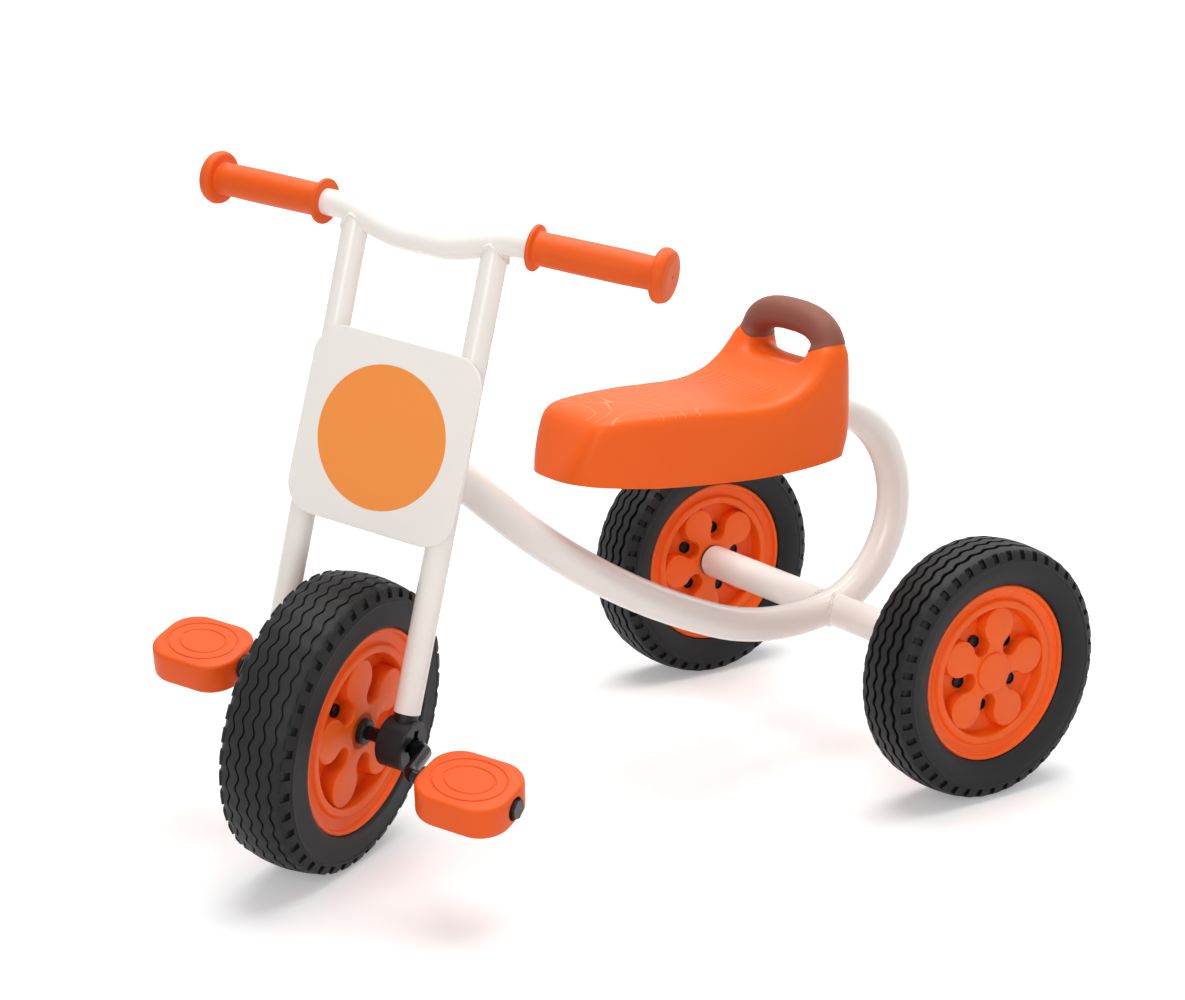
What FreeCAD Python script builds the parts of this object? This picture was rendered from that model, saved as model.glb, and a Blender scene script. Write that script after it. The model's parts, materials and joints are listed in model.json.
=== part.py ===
import FreeCAD, Part
import math
import os

# Children's tricycle: one bent main tube carries the seat and the rear axle, and a raked fork with the
# handlebar, the front plate and a directly cranked front wheel turns in the head tube.
# Millimetres, +Z up, the rider faces -Y, the rider's left is +X.

V = FreeCAD.Vector

# ---- pose in which the tricycle stands -------------------------------------------------------------
STEER_REST = 29.2            # fork turned to the rider's left, degrees from straight ahead
CRANK_REST = 11.0            # left crank arm points forwards and this far down, degrees
PEDAL_TILT = 26.0            # pedal blocks, front edge down, degrees in the fork's own frame
LEFT_WHEEL_TURN = -8.0       # rear wheels and front wheel, turned about their axles, degrees
RIGHT_WHEEL_TURN = 25.0
FRONT_WHEEL_TURN = 23.0

# ---- tubes ------------------------------------------------------------------------------------------
FRAME_OD = 31.8
FRAME_WALL = 1.8
FORK_OD = 22.2
FORK_WALL = 1.6

# ---- main tube, in the plane X = 0, from the head tube back, round the loop and under the seat -----
HEAD_Y = -449.8
HEAD_Z = 339.7
DOWN_ANGLE = -41.14          # slope of the straight stretch behind the head tube
DOWN_STRAIGHT = 108.3
SWEEP_R = 779.3
SWEEP_TURN = 19.76
BELLY_R = 243.8
BELLY_TURN = 30.71
LOOP_R = 100.0
SEAT_STRAIGHT = 205.0        # level stretch inside the seat

# ---- steering ---------------------------------------------------------------------------------------
RAKE = 13.62
FORK_OFFSET = 57.05          # wheel axle ahead of the steering axis
HEAD_OD = 38.0
HEAD_ID = 31.0
HEAD_LEN = 96.0
PIN_D = 16.0
BUSH_FLANGE = 3.0
YOKE_T = 5.0
YOKE_TAIL_R = 19.0
LEG_HALF_SPACING = 65.2
LEG_FOOT_Z = 26.0            # lower end of a leg tube above the axle

# ---- handlebar and grips, in the fork's own frame ---------------------------------------------------
BAR_Z = 417.0
BAR_DIP = 14.0               # middle of the bar below the grips
BAR_FLAT_HALF = 26.0
BAR_RISE_X = 76.0
BAR_END_X = 212.5
BAR_SWEEP = 4.0              # grips swept back, degrees
GRIP_END = 3.5                 # closed end of a grip beyond the bar
GRIP_LEN = 119.0
GRIP_OUT_X = BAR_END_X + GRIP_END
GRIP_IN_X = GRIP_OUT_X - GRIP_LEN
GRIP_D = 27.4
GRIP_FLANGE_D = 38.0
GRIP_FLANGE_T = 4.0
GRIP_KNOB_D = 45.0
GRIP_KNOB_T = 12.0

# ---- front plate ------------------------------------------------------------------------------------
PLATE_W = 158.0
PLATE_R = 27.0
PLATE_T = 2.5
PLATE_Z = 243.0
PLATE_SHIFT_X = 3.0          # hung a little towards the rider's left
PLATE_TURN = 1.2             # and turned this much in its plane
STRIP_H = 20.0
STRIP_T = 3.0
STRIP_PITCH = 60.0
STUD_D = 5.0

# ---- front wheel and crank --------------------------------------------------------------------------
F_TYRE_R = 125.9
F_TYRE_W = 67.0
F_RIM_R = 88.8
F_RIM_HALF = 32.0
F_HUB_FACE = 28.0
ROD_D = 12.0
HOUSING_D = 43.0
HOUSING_IN_X = 52.3
HOUSING_LEN = 25.0
HOUSING_NECK_D = 20.0
HOUSING_PLUG = 36.0
CRANK_BUSH_OD = 17.0
COLLAR_D = 22.0
COLLAR_T = 6.0
CRANK_THROW = 50.0
CRANK_ROOT_X = 89.0          # where the rod bends into the arm
SPINDLE_X = 102.5            # where the arm bends into the pedal spindle
CRANK_BEND_R = 9.0

# ---- pedals -----------------------------------------------------------------------------------------
PEDAL_LEN = 82.0
PEDAL_W = 70.0
PEDAL_H = 28.0
PEDAL_CORNER_R = 26.0
PEDAL_IN_X = 117.5           # inner face of the left block, which rests inwards on its spindle
PEDAL_FLOAT = 6.0            # free play of a block along its spindle; the right one rests outwards
PEDAL_RECESS_D = 20.0
PEDAL_RECESS = 8.0
PEDAL_BUSH_OD = 17.0

# ---- rear axle and wheels ---------------------------------------------------------------------------
R_TYRE_R = 116.0
R_TYRE_W = 60.5
R_RIM_R = 80.0
R_RIM_HALF = 22.4
R_WHEEL_X = 205.2
R_HUB_IN = 18.4
R_HUB_BED = 9.0              # outer bush face, from the wheel's middle plane
SHAFT_D = 12.0
WHEEL_BUSH_OD = 20.0
WASHER_D = 24.0
WASHER_T = 1.5
NUT_AF = 19.0
NUT_H = 6.5
CAP_D = 36.0
CAP_T = 2.4

# ---- rims -------------------------------------------------------------------------------------------
FLANGE_T = 3.6
FLANGE_H = 6.0
RIM_WALL = 3.0
WEB_T = 3.0
WEB_DEPTH_R = 19.0           # web below the rim's face, rear
WEB_DEPTH_F = 22.0           # and front
HUB_D = 34.0
PETALS = 5
PETAL_R = 43.0
PETAL_BULB_D = 27.0
PETAL_NECK = 15.0
PETAL_FACE = 4.0             # petal faces below the rim's face
R_HUB_OUT = R_RIM_HALF - PETAL_FACE      # the hub ends level with the petals, and the cap lies on both
PETAL_WALL = 2.5
BEAD_RING_R = 62.0
RIM_SCREW_R = 32.0
RIM_SCREW_D = 4.0
RIM_SCREW_HEAD = 8.0

# ---- seat -------------------------------------------------------------------------------------------
SEAT_WALL = 4.0
SEAT_NOSE_Y = -315.0
SEAT_TAIL_Y = -36.0
SEAT_NOSE_CORNER_R = 26.0
SEAT_TAIL_CORNER_R = 22.0
SEAT_BACK_FRONT_Y = -80.0
SEAT_BACK_REAR_Y = -38.0
SEAT_BACK_HALF = 72.0
SEAT_BACK_TOP = 416.5
HANDLE_SLOT_HALF = 47.0
HANDLE_SLOT_Z = 365.0
HANDLE_SLOT_TOP = 390.0
HANDLE_GRIP_HALF = 62.0
HANDLE_CORE_R = 5.5
SEAT_TUBE_HOLE = 37.0
BRACKET_W = 62.0
BRACKET_L = 28.0
BRACKET_T = 3.0
BRACKET_FRONT_Y = -215.0
BRACKET_REAR_Y = -95.0
SEAT_SCREW_D = 5.0
SEAT_SCREW_X = 24.0

# ---- clearances -------------------------------------------------------------------------------------
RUN_FIT = 0.05               # radial, between a bush and what turns in it
SIDE_GAP = 0.3               # between faces that turn past each other
SEAT_FIT = 0.05              # radial, between pieces that are pushed together and stay


# ---- helpers ----------------------------------------------------------------------------------------
def cyl_x(r, x0, x1, y=0.0, z=0.0):
    return Part.makeCylinder(r, x1 - x0, V(x0, y, z), V(1, 0, 0))


def cyl_z(r, z0, z1, x=0.0, y=0.0):
    return Part.makeCylinder(r, z1 - z0, V(x, y, z0), V(0, 0, 1))


def box(x0, x1, y0, y1, z0, z1):
    return Part.makeBox(x1 - x0, y1 - y0, z1 - z0, V(x0, y0, z0))


def turn_x(points):
    """Solid of revolution about X from a closed outline of (x, radius) points."""
    pts = [V(x, 0, r) for x, r in points]
    face = Part.Face(Part.makePolygon(pts + [pts[0]]))
    return face.revolve(V(0, 0, 0), V(1, 0, 0), 360)


def ring_x(ro, ri, x0, x1):
    return turn_x([(x0, ri), (x1, ri), (x1, ro), (x0, ro)])


def prism(points, axis, lo, hi):
    """Straight prism from a closed outline; the points are the two coordinates across the axis."""
    if axis == "x":
        pts = [V(lo, a, b) for a, b in points]
        way = V(hi - lo, 0, 0)
    elif axis == "y":
        pts = [V(a, lo, b) for a, b in points]
        way = V(0, hi - lo, 0)
    else:
        pts = [V(a, b, lo) for a, b in points]
        way = V(0, 0, hi - lo)
    return Part.Face(Part.makePolygon(pts + [pts[0]])).extrude(way)


def bend_path(points, radii):
    """Wire of straight runs joined by tangent arcs of the given radii at the inner points."""
    edges = []
    start = points[0]
    for i in range(1, len(points) - 1):
        p = points[i]
        a = (points[i - 1] - p).normalize()
        b = (points[i + 1] - p).normalize()
        half = a.getAngle(b) / 2
        cut = radii[i - 1] / math.tan(half)
        p1 = p + a * cut
        p2 = p + b * cut
        mid_dir = (a + b).normalize()
        centre = p + mid_dir * (radii[i - 1] / math.sin(half))
        pm = centre - mid_dir * radii[i - 1]
        edges.append(Part.LineSegment(start, p1).toShape())
        edges.append(Part.Arc(p1, pm, p2).toShape())
        start = p2
    edges.append(Part.LineSegment(start, points[-1]).toShape())
    return Part.Wire(edges)


def sweep_round(wire, r):
    """Round bar of radius r along a wire."""
    first = wire.OrderedEdges[0]
    p = first.valueAt(first.FirstParameter)
    d = first.tangentAt(first.FirstParameter)
    section = Part.Wire([Part.makeCircle(r, p, d)])
    return wire.makePipeShell([section], True, True)


def fuse(first, *rest):
    return first.fuse(list(rest)).removeSplitter()


def turned(shape, angle, axis=V(1, 0, 0), at=V(0, 0, 0)):
    s = shape.copy()
    s.rotate(at, axis, angle)
    return s


def moved(shape, x=0.0, y=0.0, z=0.0):
    s = shape.copy()
    s.translate(V(x, y, z))
    return s


def mirrored_x(shape):
    return shape.mirror(V(0, 0, 0), V(1, 0, 0))


def lowest(shape):
    return min(p.z for p in shape.tessellate(0.02)[0])


# ---- the steering axis and the fork's own frame -----------------------------------------------------
# In the fork's frame the origin is the wheel's middle, x is the wheel's axle towards the rider's left,
# y points back and z runs up along the steering axis.
AXIS_UP = V(0, math.sin(math.radians(RAKE)), math.cos(math.radians(RAKE)))
HEAD_AT = V(0, HEAD_Y, HEAD_Z)


def fork_axes(steer):
    s = math.radians(steer)
    back0 = V(0, AXIS_UP.z, -AXIS_UP.y)
    across = V(1, 0, 0) * math.cos(s) + AXIS_UP.cross(V(1, 0, 0)) * math.sin(s)
    back = back0 * math.cos(s) - V(1, 0, 0) * math.sin(s)
    return across, back


def fork_placement(steer, head_local_z):
    across, back = fork_axes(steer)
    origin = HEAD_AT - AXIS_UP * head_local_z - back * FORK_OFFSET
    m = FreeCAD.Matrix(across.x, back.x, AXIS_UP.x, origin.x,
                       across.y, back.y, AXIS_UP.y, origin.y,
                       across.z, back.z, AXIS_UP.z, origin.z, 0, 0, 0, 1)
    return FreeCAD.Placement(m)


def placed(shape, placement):
    s = shape.copy()
    s.Placement = placement.multiply(s.Placement)
    return s


# ---- frame ------------------------------------------------------------------------------------------
def main_path():
    """Centre line of the main tube, as one wire of lines and arcs in the plane X = 0."""
    h = math.radians(DOWN_ANGLE)
    p = V(0, HEAD_Y, HEAD_Z)
    q = p + V(0, math.cos(h), math.sin(h)) * DOWN_STRAIGHT
    edges = [Part.LineSegment(p, q).toShape()]
    p = q
    loop_turn = 180.0 - DOWN_ANGLE - SWEEP_TURN - BELLY_TURN
    for r, turn in ((SWEEP_R, SWEEP_TURN), (BELLY_R, BELLY_TURN), (LOOP_R, loop_turn)):
        t = math.radians(turn)
        centre = p + V(0, -math.sin(h), math.cos(h)) * r
        mid = centre + V(0, math.sin(h + t / 2), -math.cos(h + t / 2)) * r
        end = centre + V(0, math.sin(h + t), -math.cos(h + t)) * r
        edges.append(Part.Arc(p, mid, end).toShape())
        p = end
        h += t
    q = p + V(0, -SEAT_STRAIGHT, 0)
    edges.append(Part.LineSegment(p, q).toShape())
    return Part.Wire(edges), p.z, p.y


MAIN_WIRE, SEAT_TUBE_Z, LOOP_TOP_Y = main_path()


def head_frame(shape):
    """Puts a piece made along Z about the origin onto the steering axis at the head tube's middle."""
    s = shape.copy()
    s.rotate(V(0, 0, 0), V(1, 0, 0), -RAKE)
    s.translate(HEAD_AT)
    return s


def make_main_tube():
    outer = sweep_round(MAIN_WIRE, FRAME_OD / 2)
    inner = sweep_round(MAIN_WIRE, FRAME_OD / 2 - FRAME_WALL)
    tube = outer.cut(inner)
    tube = tube.cut(head_frame(cyl_z(HEAD_OD / 2, -HEAD_LEN, HEAD_LEN)))
    tube = [s for s in tube.Solids if s.BoundBox.YMax > 0][0]
    return tube.cut(cyl_x(SHAFT_D / 2 + SEAT_FIT, -FRAME_OD, FRAME_OD, 0, R_TYRE_R))


def make_head_tube():
    half = HEAD_LEN / 2
    return head_frame(cyl_z(HEAD_OD / 2, -half, half).cut(cyl_z(HEAD_ID / 2, -half, half)))


def make_head_bush(up):
    half = HEAD_LEN / 2
    body = cyl_z(HEAD_ID / 2 - SEAT_FIT, half - 18.0, half)
    flange = cyl_z(HEAD_OD / 2, half, half + BUSH_FLANGE)
    bush = fuse(body, flange).cut(cyl_z(PIN_D / 2 + RUN_FIT, 0, HEAD_LEN))
    if not up:
        bush = turned(bush, 180)
    return head_frame(bush)


AXLE_TUBE_END = R_WHEEL_X - R_HUB_IN - 2.0 - SIDE_GAP


def make_axle_tube(side):
    outer = cyl_x(FRAME_OD / 2, 0, AXLE_TUBE_END, 0, R_TYRE_R)
    tube = outer.cut(cyl_x(FRAME_OD / 2 - FRAME_WALL, 0, AXLE_TUBE_END, 0, R_TYRE_R))
    tube = tube.cut(sweep_round(MAIN_WIRE, FRAME_OD / 2))
    tube = max(tube.Solids, key=lambda s: s.Volume)
    return tube if side > 0 else mirrored_x(tube)


def make_axle_end_bush(side):
    plug = cyl_x(FRAME_OD / 2 - FRAME_WALL - SEAT_FIT, AXLE_TUBE_END - 22.0, AXLE_TUBE_END, 0, R_TYRE_R)
    plug = plug.cut(cyl_x(SHAFT_D / 2 + SEAT_FIT, 0, R_WHEEL_X, 0, R_TYRE_R))
    return plug if side > 0 else mirrored_x(plug)


NUT_FACE = R_WHEEL_X + R_HUB_BED + SIDE_GAP + WASHER_T


def make_shaft():
    end = NUT_FACE + NUT_H
    return cyl_x(SHAFT_D / 2, -end, end, 0, R_TYRE_R)


def make_axle_washers():
    one = ring_x(WASHER_D / 2, SHAFT_D / 2 + SEAT_FIT, NUT_FACE - WASHER_T, NUT_FACE)
    one = moved(one, z=R_TYRE_R)
    return Part.makeCompound([one, mirrored_x(one)])


def hexagon(af, x0, x1):
    r = af / math.sqrt(3)
    pts = [(r * math.cos(math.radians(60 * i)), r * math.sin(math.radians(60 * i))) for i in range(6)]
    return prism(pts, "x", x0, x1)


def make_axle_nuts():
    one = hexagon(NUT_AF, NUT_FACE, NUT_FACE + NUT_H)
    one = one.cut(cyl_x(SHAFT_D / 2 + SEAT_FIT, 0, R_WHEEL_X * 2))
    one = moved(one, z=R_TYRE_R)
    return Part.makeCompound([one, mirrored_x(one)])


# ---- wheels -----------------------------------------------------------------------------------------
def make_tyre(r, width, rim_r, rim_half, groove_at):
    """Moulded tyre about X, with a closed air space and round grooves."""
    half = width / 2
    seat_r = rim_r - FLANGE_H + SEAT_FIT
    seat_half = rim_half - FLANGE_T - SEAT_FIT
    wall = r - rim_r
    tread = 0.74 * half
    lip = min(rim_half + 2.5, half - 1.0)

    def p(x, rr):
        return V(x, 0, rr)

    side = [
        Part.Arc(p(-tread, r - 3.5), p(0, r), p(tread, r - 3.5)).toShape(),
        Part.Arc(p(tread, r - 3.5), p(half - 2.0, r - 0.22 * wall), p(half, r - 0.5 * wall)).toShape(),
        Part.Arc(p(half, r - 0.5 * wall), p(half - 0.8, r - 0.75 * wall), p(lip, rim_r + 0.3)).toShape(),
        Part.LineSegment(p(lip, rim_r + 0.3), p(seat_half, rim_r + 0.3)).toShape(),
        Part.LineSegment(p(seat_half, rim_r + 0.3), p(seat_half, seat_r)).toShape(),
        Part.LineSegment(p(seat_half, seat_r), p(-seat_half, seat_r)).toShape(),
        Part.LineSegment(p(-seat_half, seat_r), p(-seat_half, rim_r + 0.3)).toShape(),
        Part.LineSegment(p(-seat_half, rim_r + 0.3), p(-lip, rim_r + 0.3)).toShape(),
        Part.Arc(p(-lip, rim_r + 0.3), p(-half + 0.8, r - 0.75 * wall), p(-half, r - 0.5 * wall)).toShape(),
        Part.Arc(p(-half, r - 0.5 * wall), p(-half + 2.0, r - 0.22 * wall), p(-tread, r - 3.5)).toShape(),
    ]
    tyre = Part.Face(Part.Wire(side)).revolve(V(0, 0, 0), V(1, 0, 0), 360)
    tyre = tyre.cut(Part.makeTorus(r - 0.52 * wall, 0.30 * wall, V(0, 0, 0), V(1, 0, 0)))
    for x in groove_at:
        tyre = tyre.cut(ring_x(r + 2, r - 3.2, x - 1.3, x + 1.3))
    return tyre


def make_rim_half(r, half, web_depth, hub_face, bore_r, bed, ring_r, petal_r):
    """One moulded half of a rim, from the wheel's middle plane (x = 0) out to its face (x = half)."""
    barrel = r - FLANGE_H
    web0 = half - web_depth
    web1 = web0 + WEB_T
    hub_r = HUB_D / 2
    outline = [(0, barrel), (half - FLANGE_T, barrel), (half - FLANGE_T, r), (half - 0.8, r), (half, r - 0.8),
               (half, r - 3.0), (half - 3.5, barrel - RIM_WALL), (web1, barrel - RIM_WALL), (web1, hub_r),
               (hub_face, hub_r), (hub_face, bore_r), (0, bore_r), (0, hub_r), (web0, hub_r),
               (web0, barrel - RIM_WALL), (0, barrel - RIM_WALL)]
    rim = turn_x(outline)
    face = half - PETAL_FACE
    extras = [ring_x(ring_r + 2.0, ring_r - 2.0, web0, half - 2.0)]
    hollows = []
    for i in range(PETALS):
        angle = 360.0 / PETALS * i
        bulb = cyl_x(PETAL_BULB_D / 2, web0, face, 0, petal_r)
        neck = box(web0, face, -PETAL_NECK / 2, PETAL_NECK / 2, hub_r - 2.0, petal_r)
        extras.append(turned(bulb, angle))
        extras.append(turned(neck, angle))
        hollows.append(turned(cyl_x(PETAL_BULB_D / 2 - PETAL_WALL, web0 - 1, face - PETAL_WALL, 0, petal_r), angle))
    rim = fuse(rim, *extras).cut(hollows)
    if bed < hub_face:
        rim = rim.cut(cyl_x(hub_r - 3.5, bed, hub_face + 1))
    for i in range(PETALS):
        hole = cyl_x(RIM_SCREW_D / 2 + 0.1, -1, half + 1, 0, RIM_SCREW_R)
        rim = rim.cut(turned(hole, 360.0 / PETALS * (i + 0.5)))
    return rim


def make_rim_screws(half, web_depth):
    """Five through screws that hold the two halves of a rim, each with its nut."""
    face = half - web_depth + WEB_T
    shank = RIM_SCREW_D / 2
    head = RIM_SCREW_HEAD / 2
    one = turn_x([(-face - 4.0, 0), (face + 3.0, 0), (face + 3.0, head - 0.8), (face + 2.2, head), (face, head),
                  (face, shank), (-face, shank), (-face, head), (-face - 4.0, head)])
    one = moved(one, z=RIM_SCREW_R)
    return Part.makeCompound([turned(one, 360.0 / PETALS * (i + 0.5)) for i in range(PETALS)])


def rear_wheel(side):
    """All pieces of one rear wheel, placed; the outer half carries the hub cap."""
    bore = WHEEL_BUSH_OD / 2 + SEAT_FIT
    outer = make_rim_half(R_RIM_R, R_RIM_HALF, WEB_DEPTH_R, R_HUB_OUT, bore, R_HUB_BED, BEAD_RING_R, PETAL_R)
    inner = make_rim_half(R_RIM_R, R_RIM_HALF, WEB_DEPTH_R, R_HUB_IN, bore, R_HUB_IN, BEAD_RING_R, PETAL_R)
    inner = mirrored_x(inner)
    tyre = make_tyre(R_TYRE_R, R_TYRE_W, R_RIM_R, R_RIM_HALF, (-18.0, -6.0, 6.0, 18.0))
    bush_r = WHEEL_BUSH_OD / 2
    run = SHAFT_D / 2 + RUN_FIT
    bush_out = ring_x(bush_r, run, R_HUB_BED - 12.0, R_HUB_BED)
    bush_in = fuse(ring_x(bush_r, run, -R_HUB_IN, -R_HUB_IN + 14.0), ring_x(HUB_D / 2 - 2.0, run, -R_HUB_IN - 2.0, -R_HUB_IN))
    bushes = Part.makeCompound([bush_out, bush_in])
    skirt = HUB_D / 2 - 3.5 - SEAT_FIT
    cap = turn_x([(R_HUB_OUT, 0), (R_HUB_OUT + CAP_T, 0), (R_HUB_OUT + CAP_T, CAP_D / 2 - 3.0),
                  (R_HUB_OUT + CAP_T - 1.5, CAP_D / 2), (R_HUB_OUT, CAP_D / 2), (R_HUB_OUT, skirt),
                  (R_HUB_OUT - 2.0, skirt), (R_HUB_OUT - 2.0, skirt - 1.2), (R_HUB_OUT, skirt - 1.2)])
    pieces = {
        "rear_rim_outer": outer,
        "rear_rim_inner": inner,
        "rear_tyre": tyre,
        "rear_rim_screws": make_rim_screws(R_RIM_HALF, WEB_DEPTH_R),
        "rear_wheel_bushes": bushes,
        "rear_hub_cap": cap,
    }
    done = {}
    name = "left" if side > 0 else "right"
    for key, shape in pieces.items():
        s = shape if side > 0 else mirrored_x(shape)
        s = turned(s, LEFT_WHEEL_TURN if side > 0 else RIGHT_WHEEL_TURN)
        done[key + "_" + name] = moved(s, side * R_WHEEL_X, 0, R_TYRE_R)
    return done


# ---- seat -------------------------------------------------------------------------------------------
SEAT_STATIONS = [            # y, half width at the bottom, half width at the top, bottom z, top z, edge radius
    (-316.0, 50.0, 47.0, 292.0, 341.0, 14.0),
    (-296.0, 54.0, 51.0, 290.0, 345.0, 14.0),
    (-235.0, 61.0, 58.0, 284.0, 346.0, 14.0),
    (-150.0, 72.0, 69.0, 281.0, 345.0, 13.0),
    (-85.0, 75.0, 72.5, 284.0, 352.0, 12.0),
    (-36.0, 72.0, 70.0, 291.0, 354.0, 12.0),
]


def seat_section(y, wb, wt, zb, zt, r):
    k = r * (1 - math.sqrt(0.5))
    pts = [V(-wb, y, zb), V(-wt, y, zt - r), V(-wt + k, y, zt - k), V(-wt + r, y, zt)]
    right = [V(-q.x, q.y, q.z) for q in reversed(pts)]
    edges = [
        Part.LineSegment(pts[0], pts[1]).toShape(),
        Part.Arc(pts[1], pts[2], pts[3]).toShape(),
        Part.LineSegment(pts[3], right[0]).toShape(),
        Part.Arc(right[0], right[1], right[2]).toShape(),
        Part.LineSegment(right[2], right[3]).toShape(),
        Part.LineSegment(right[3], pts[0]).toShape(),
    ]
    return Part.Wire(edges)


def seat_loft(wall):
    """Seat body as a loft; with a wall thickness it is the hollow that is taken out from below."""
    wires = []
    for i, (y, wb, wt, zb, zt, r) in enumerate(SEAT_STATIONS):
        if wall:
            y = y + wall if i == 0 else (y - wall if i == len(SEAT_STATIONS) - 1 else y)
            zb = zb - 12.0
            wires.append(seat_section(y, wb - wall, wt - wall, zb, zt - wall - 1.0, r - 3.0))
        else:
            wires.append(seat_section(y, wb, wt, zb, zt, r))
    return Part.makeLoft(wires, True, False)


def seat_plan(inset):
    """Plan outline with rounded corners at the nose and the tail, as a tall prism."""
    h = 100.0
    blank = box(-h, h, SEAT_NOSE_Y - 1.0 + inset, SEAT_TAIL_Y - inset, 250.0, 450.0)
    nose_half = SEAT_STATIONS[0][1] - inset
    tail_half = SEAT_STATIONS[-1][1] - inset
    nr = SEAT_NOSE_CORNER_R - inset
    tr = SEAT_TAIL_CORNER_R - inset
    for side in (-1, 1):
        for half, r, y, way in ((nose_half, nr, SEAT_NOSE_Y - 1.0 + inset, 1), (tail_half, tr, SEAT_TAIL_Y - inset, -1)):
            cx = side * (half - r)
            cy = y + way * r
            xs = sorted((cx, side * 120.0))
            ys = sorted((cy, y - way * 20.0))
            corner = box(xs[0], xs[1], ys[0], ys[1], 240.0, 460.0)
            corner = corner.cut(cyl_z(r, 230.0, 470.0, cx, cy))
            blank = blank.cut(corner)
    return blank


def arch_outline(half, z0, top, shoulder):
    """Half-round topped outline in X and Z."""
    pts = [(-half, z0), (-half, top - shoulder)]
    for i in range(1, 12):
        a = math.radians(180 - 15 * i)
        pts.append((half * math.copysign(abs(math.cos(a)) ** 0.75, math.cos(a)),
                    top - shoulder + shoulder * math.sin(a) ** 0.9))
    pts += [(half, top - shoulder), (half, z0)]
    return pts


def smooth_prism(points, y0, y1):
    """Prism along Y whose upper side is one smooth curve through the points."""
    a, b = [V(p[0], y0, p[1]) for p in points[:1]], [V(p[0], y0, p[1]) for p in points[-1:]]
    curve = Part.BSplineCurve()
    curve.interpolate([V(p[0], y0, p[1]) for p in points])
    wire = Part.Wire([curve.toShape(), Part.LineSegment(b[0], a[0]).toShape()])
    return Part.Face(wire).extrude(V(0, y1 - y0, 0))


def seat_parts():
    outer = seat_loft(0.0)
    back = smooth_prism(arch_outline(SEAT_BACK_HALF, 330.0, SEAT_BACK_TOP, 46.0), SEAT_BACK_FRONT_Y, SEAT_BACK_REAR_Y)
    top = SEAT_BACK_TOP + 1.0
    lean = prism([(SEAT_BACK_FRONT_Y - 26, 340.0), (SEAT_BACK_FRONT_Y - 12, 352.0), (SEAT_BACK_FRONT_Y - 2, 367.0),
                  (SEAT_BACK_FRONT_Y + 6, 386.0), (SEAT_BACK_FRONT_Y + 12, top - 12.0),
                  (SEAT_BACK_FRONT_Y + 20, top - 2.0), (SEAT_BACK_FRONT_Y + 25, top), (SEAT_BACK_REAR_Y - 10, top),
                  (SEAT_BACK_REAR_Y - 4, top - 5.0), (SEAT_BACK_REAR_Y, top - 16.0),
                  (SEAT_BACK_REAR_Y + 2, 330.0), (SEAT_BACK_FRONT_Y - 26, 330.0)], "x", -100, 100)
    back = back.common(lean)
    slot = smooth_prism(arch_outline(HANDLE_SLOT_HALF, HANDLE_SLOT_Z, HANDLE_SLOT_TOP, 17.0),
                        SEAT_BACK_FRONT_Y - 30, SEAT_BACK_REAR_Y + 30)
    nose = prism([(SEAT_NOSE_Y - 10, 270.0), (SEAT_NOSE_Y + 1, 290.0), (SEAT_NOSE_Y + 2, 296.0),
                  (SEAT_NOSE_Y + 26, 360.0), (SEAT_NOSE_Y - 10, 360.0)], "x", -100, 100)
    body = outer.fuse(back).cut(nose).common(seat_plan(0.0))
    hollow = seat_loft(SEAT_WALL).cut(moved(nose, y=SEAT_WALL)).common(seat_plan(SEAT_WALL))
    body = body.cut(hollow).cut(slot)
    grip_zone = box(-HANDLE_GRIP_HALF, HANDLE_GRIP_HALF, SEAT_BACK_FRONT_Y - 30, SEAT_BACK_REAR_Y + 30,
                    HANDLE_SLOT_TOP - 7.0, SEAT_BACK_TOP + 10)
    grip = body.common(grip_zone)
    core_y = (SEAT_BACK_FRONT_Y + SEAT_BACK_REAR_Y) / 2 + 5.0
    core_z = (HANDLE_SLOT_TOP + SEAT_BACK_TOP) / 2
    core_wire = Part.Wire([Part.Arc(V(-HANDLE_GRIP_HALF - 2, core_y, core_z - 17.0), V(0, core_y, core_z),
                                    V(HANDLE_GRIP_HALF + 2, core_y, core_z - 17.0)).toShape()])
    core = sweep_round(core_wire, HANDLE_CORE_R)
    body = body.cut(grip_zone).fuse(core)
    grip = grip.cut(core)
    hole = Part.makeCylinder(SEAT_TUBE_HOLE / 2, 60, V(0, SEAT_TAIL_Y - 40, SEAT_TUBE_Z), V(0, 1, 0))
    body = body.cut(hole)
    deck = SEAT_TUBE_Z + FRAME_OD / 2 + BRACKET_T
    bosses = []
    for y in (BRACKET_FRONT_Y, BRACKET_REAR_Y):
        for x in (-SEAT_SCREW_X, SEAT_SCREW_X):
            boss = cyl_z(6.0, deck, deck + 8.0, x, y)
            bosses.append(boss)
    body = body.fuse(bosses)
    for y in (BRACKET_FRONT_Y, BRACKET_REAR_Y):
        for x in (-SEAT_SCREW_X, SEAT_SCREW_X):
            body = body.cut(cyl_z(SEAT_SCREW_D / 2 + SEAT_FIT, deck - 1, deck + 6.5, x, y))
    body = max(body.Solids, key=lambda s: s.Volume)
    grip = max(grip.Solids, key=lambda s: s.Volume)
    return body, grip


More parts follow.
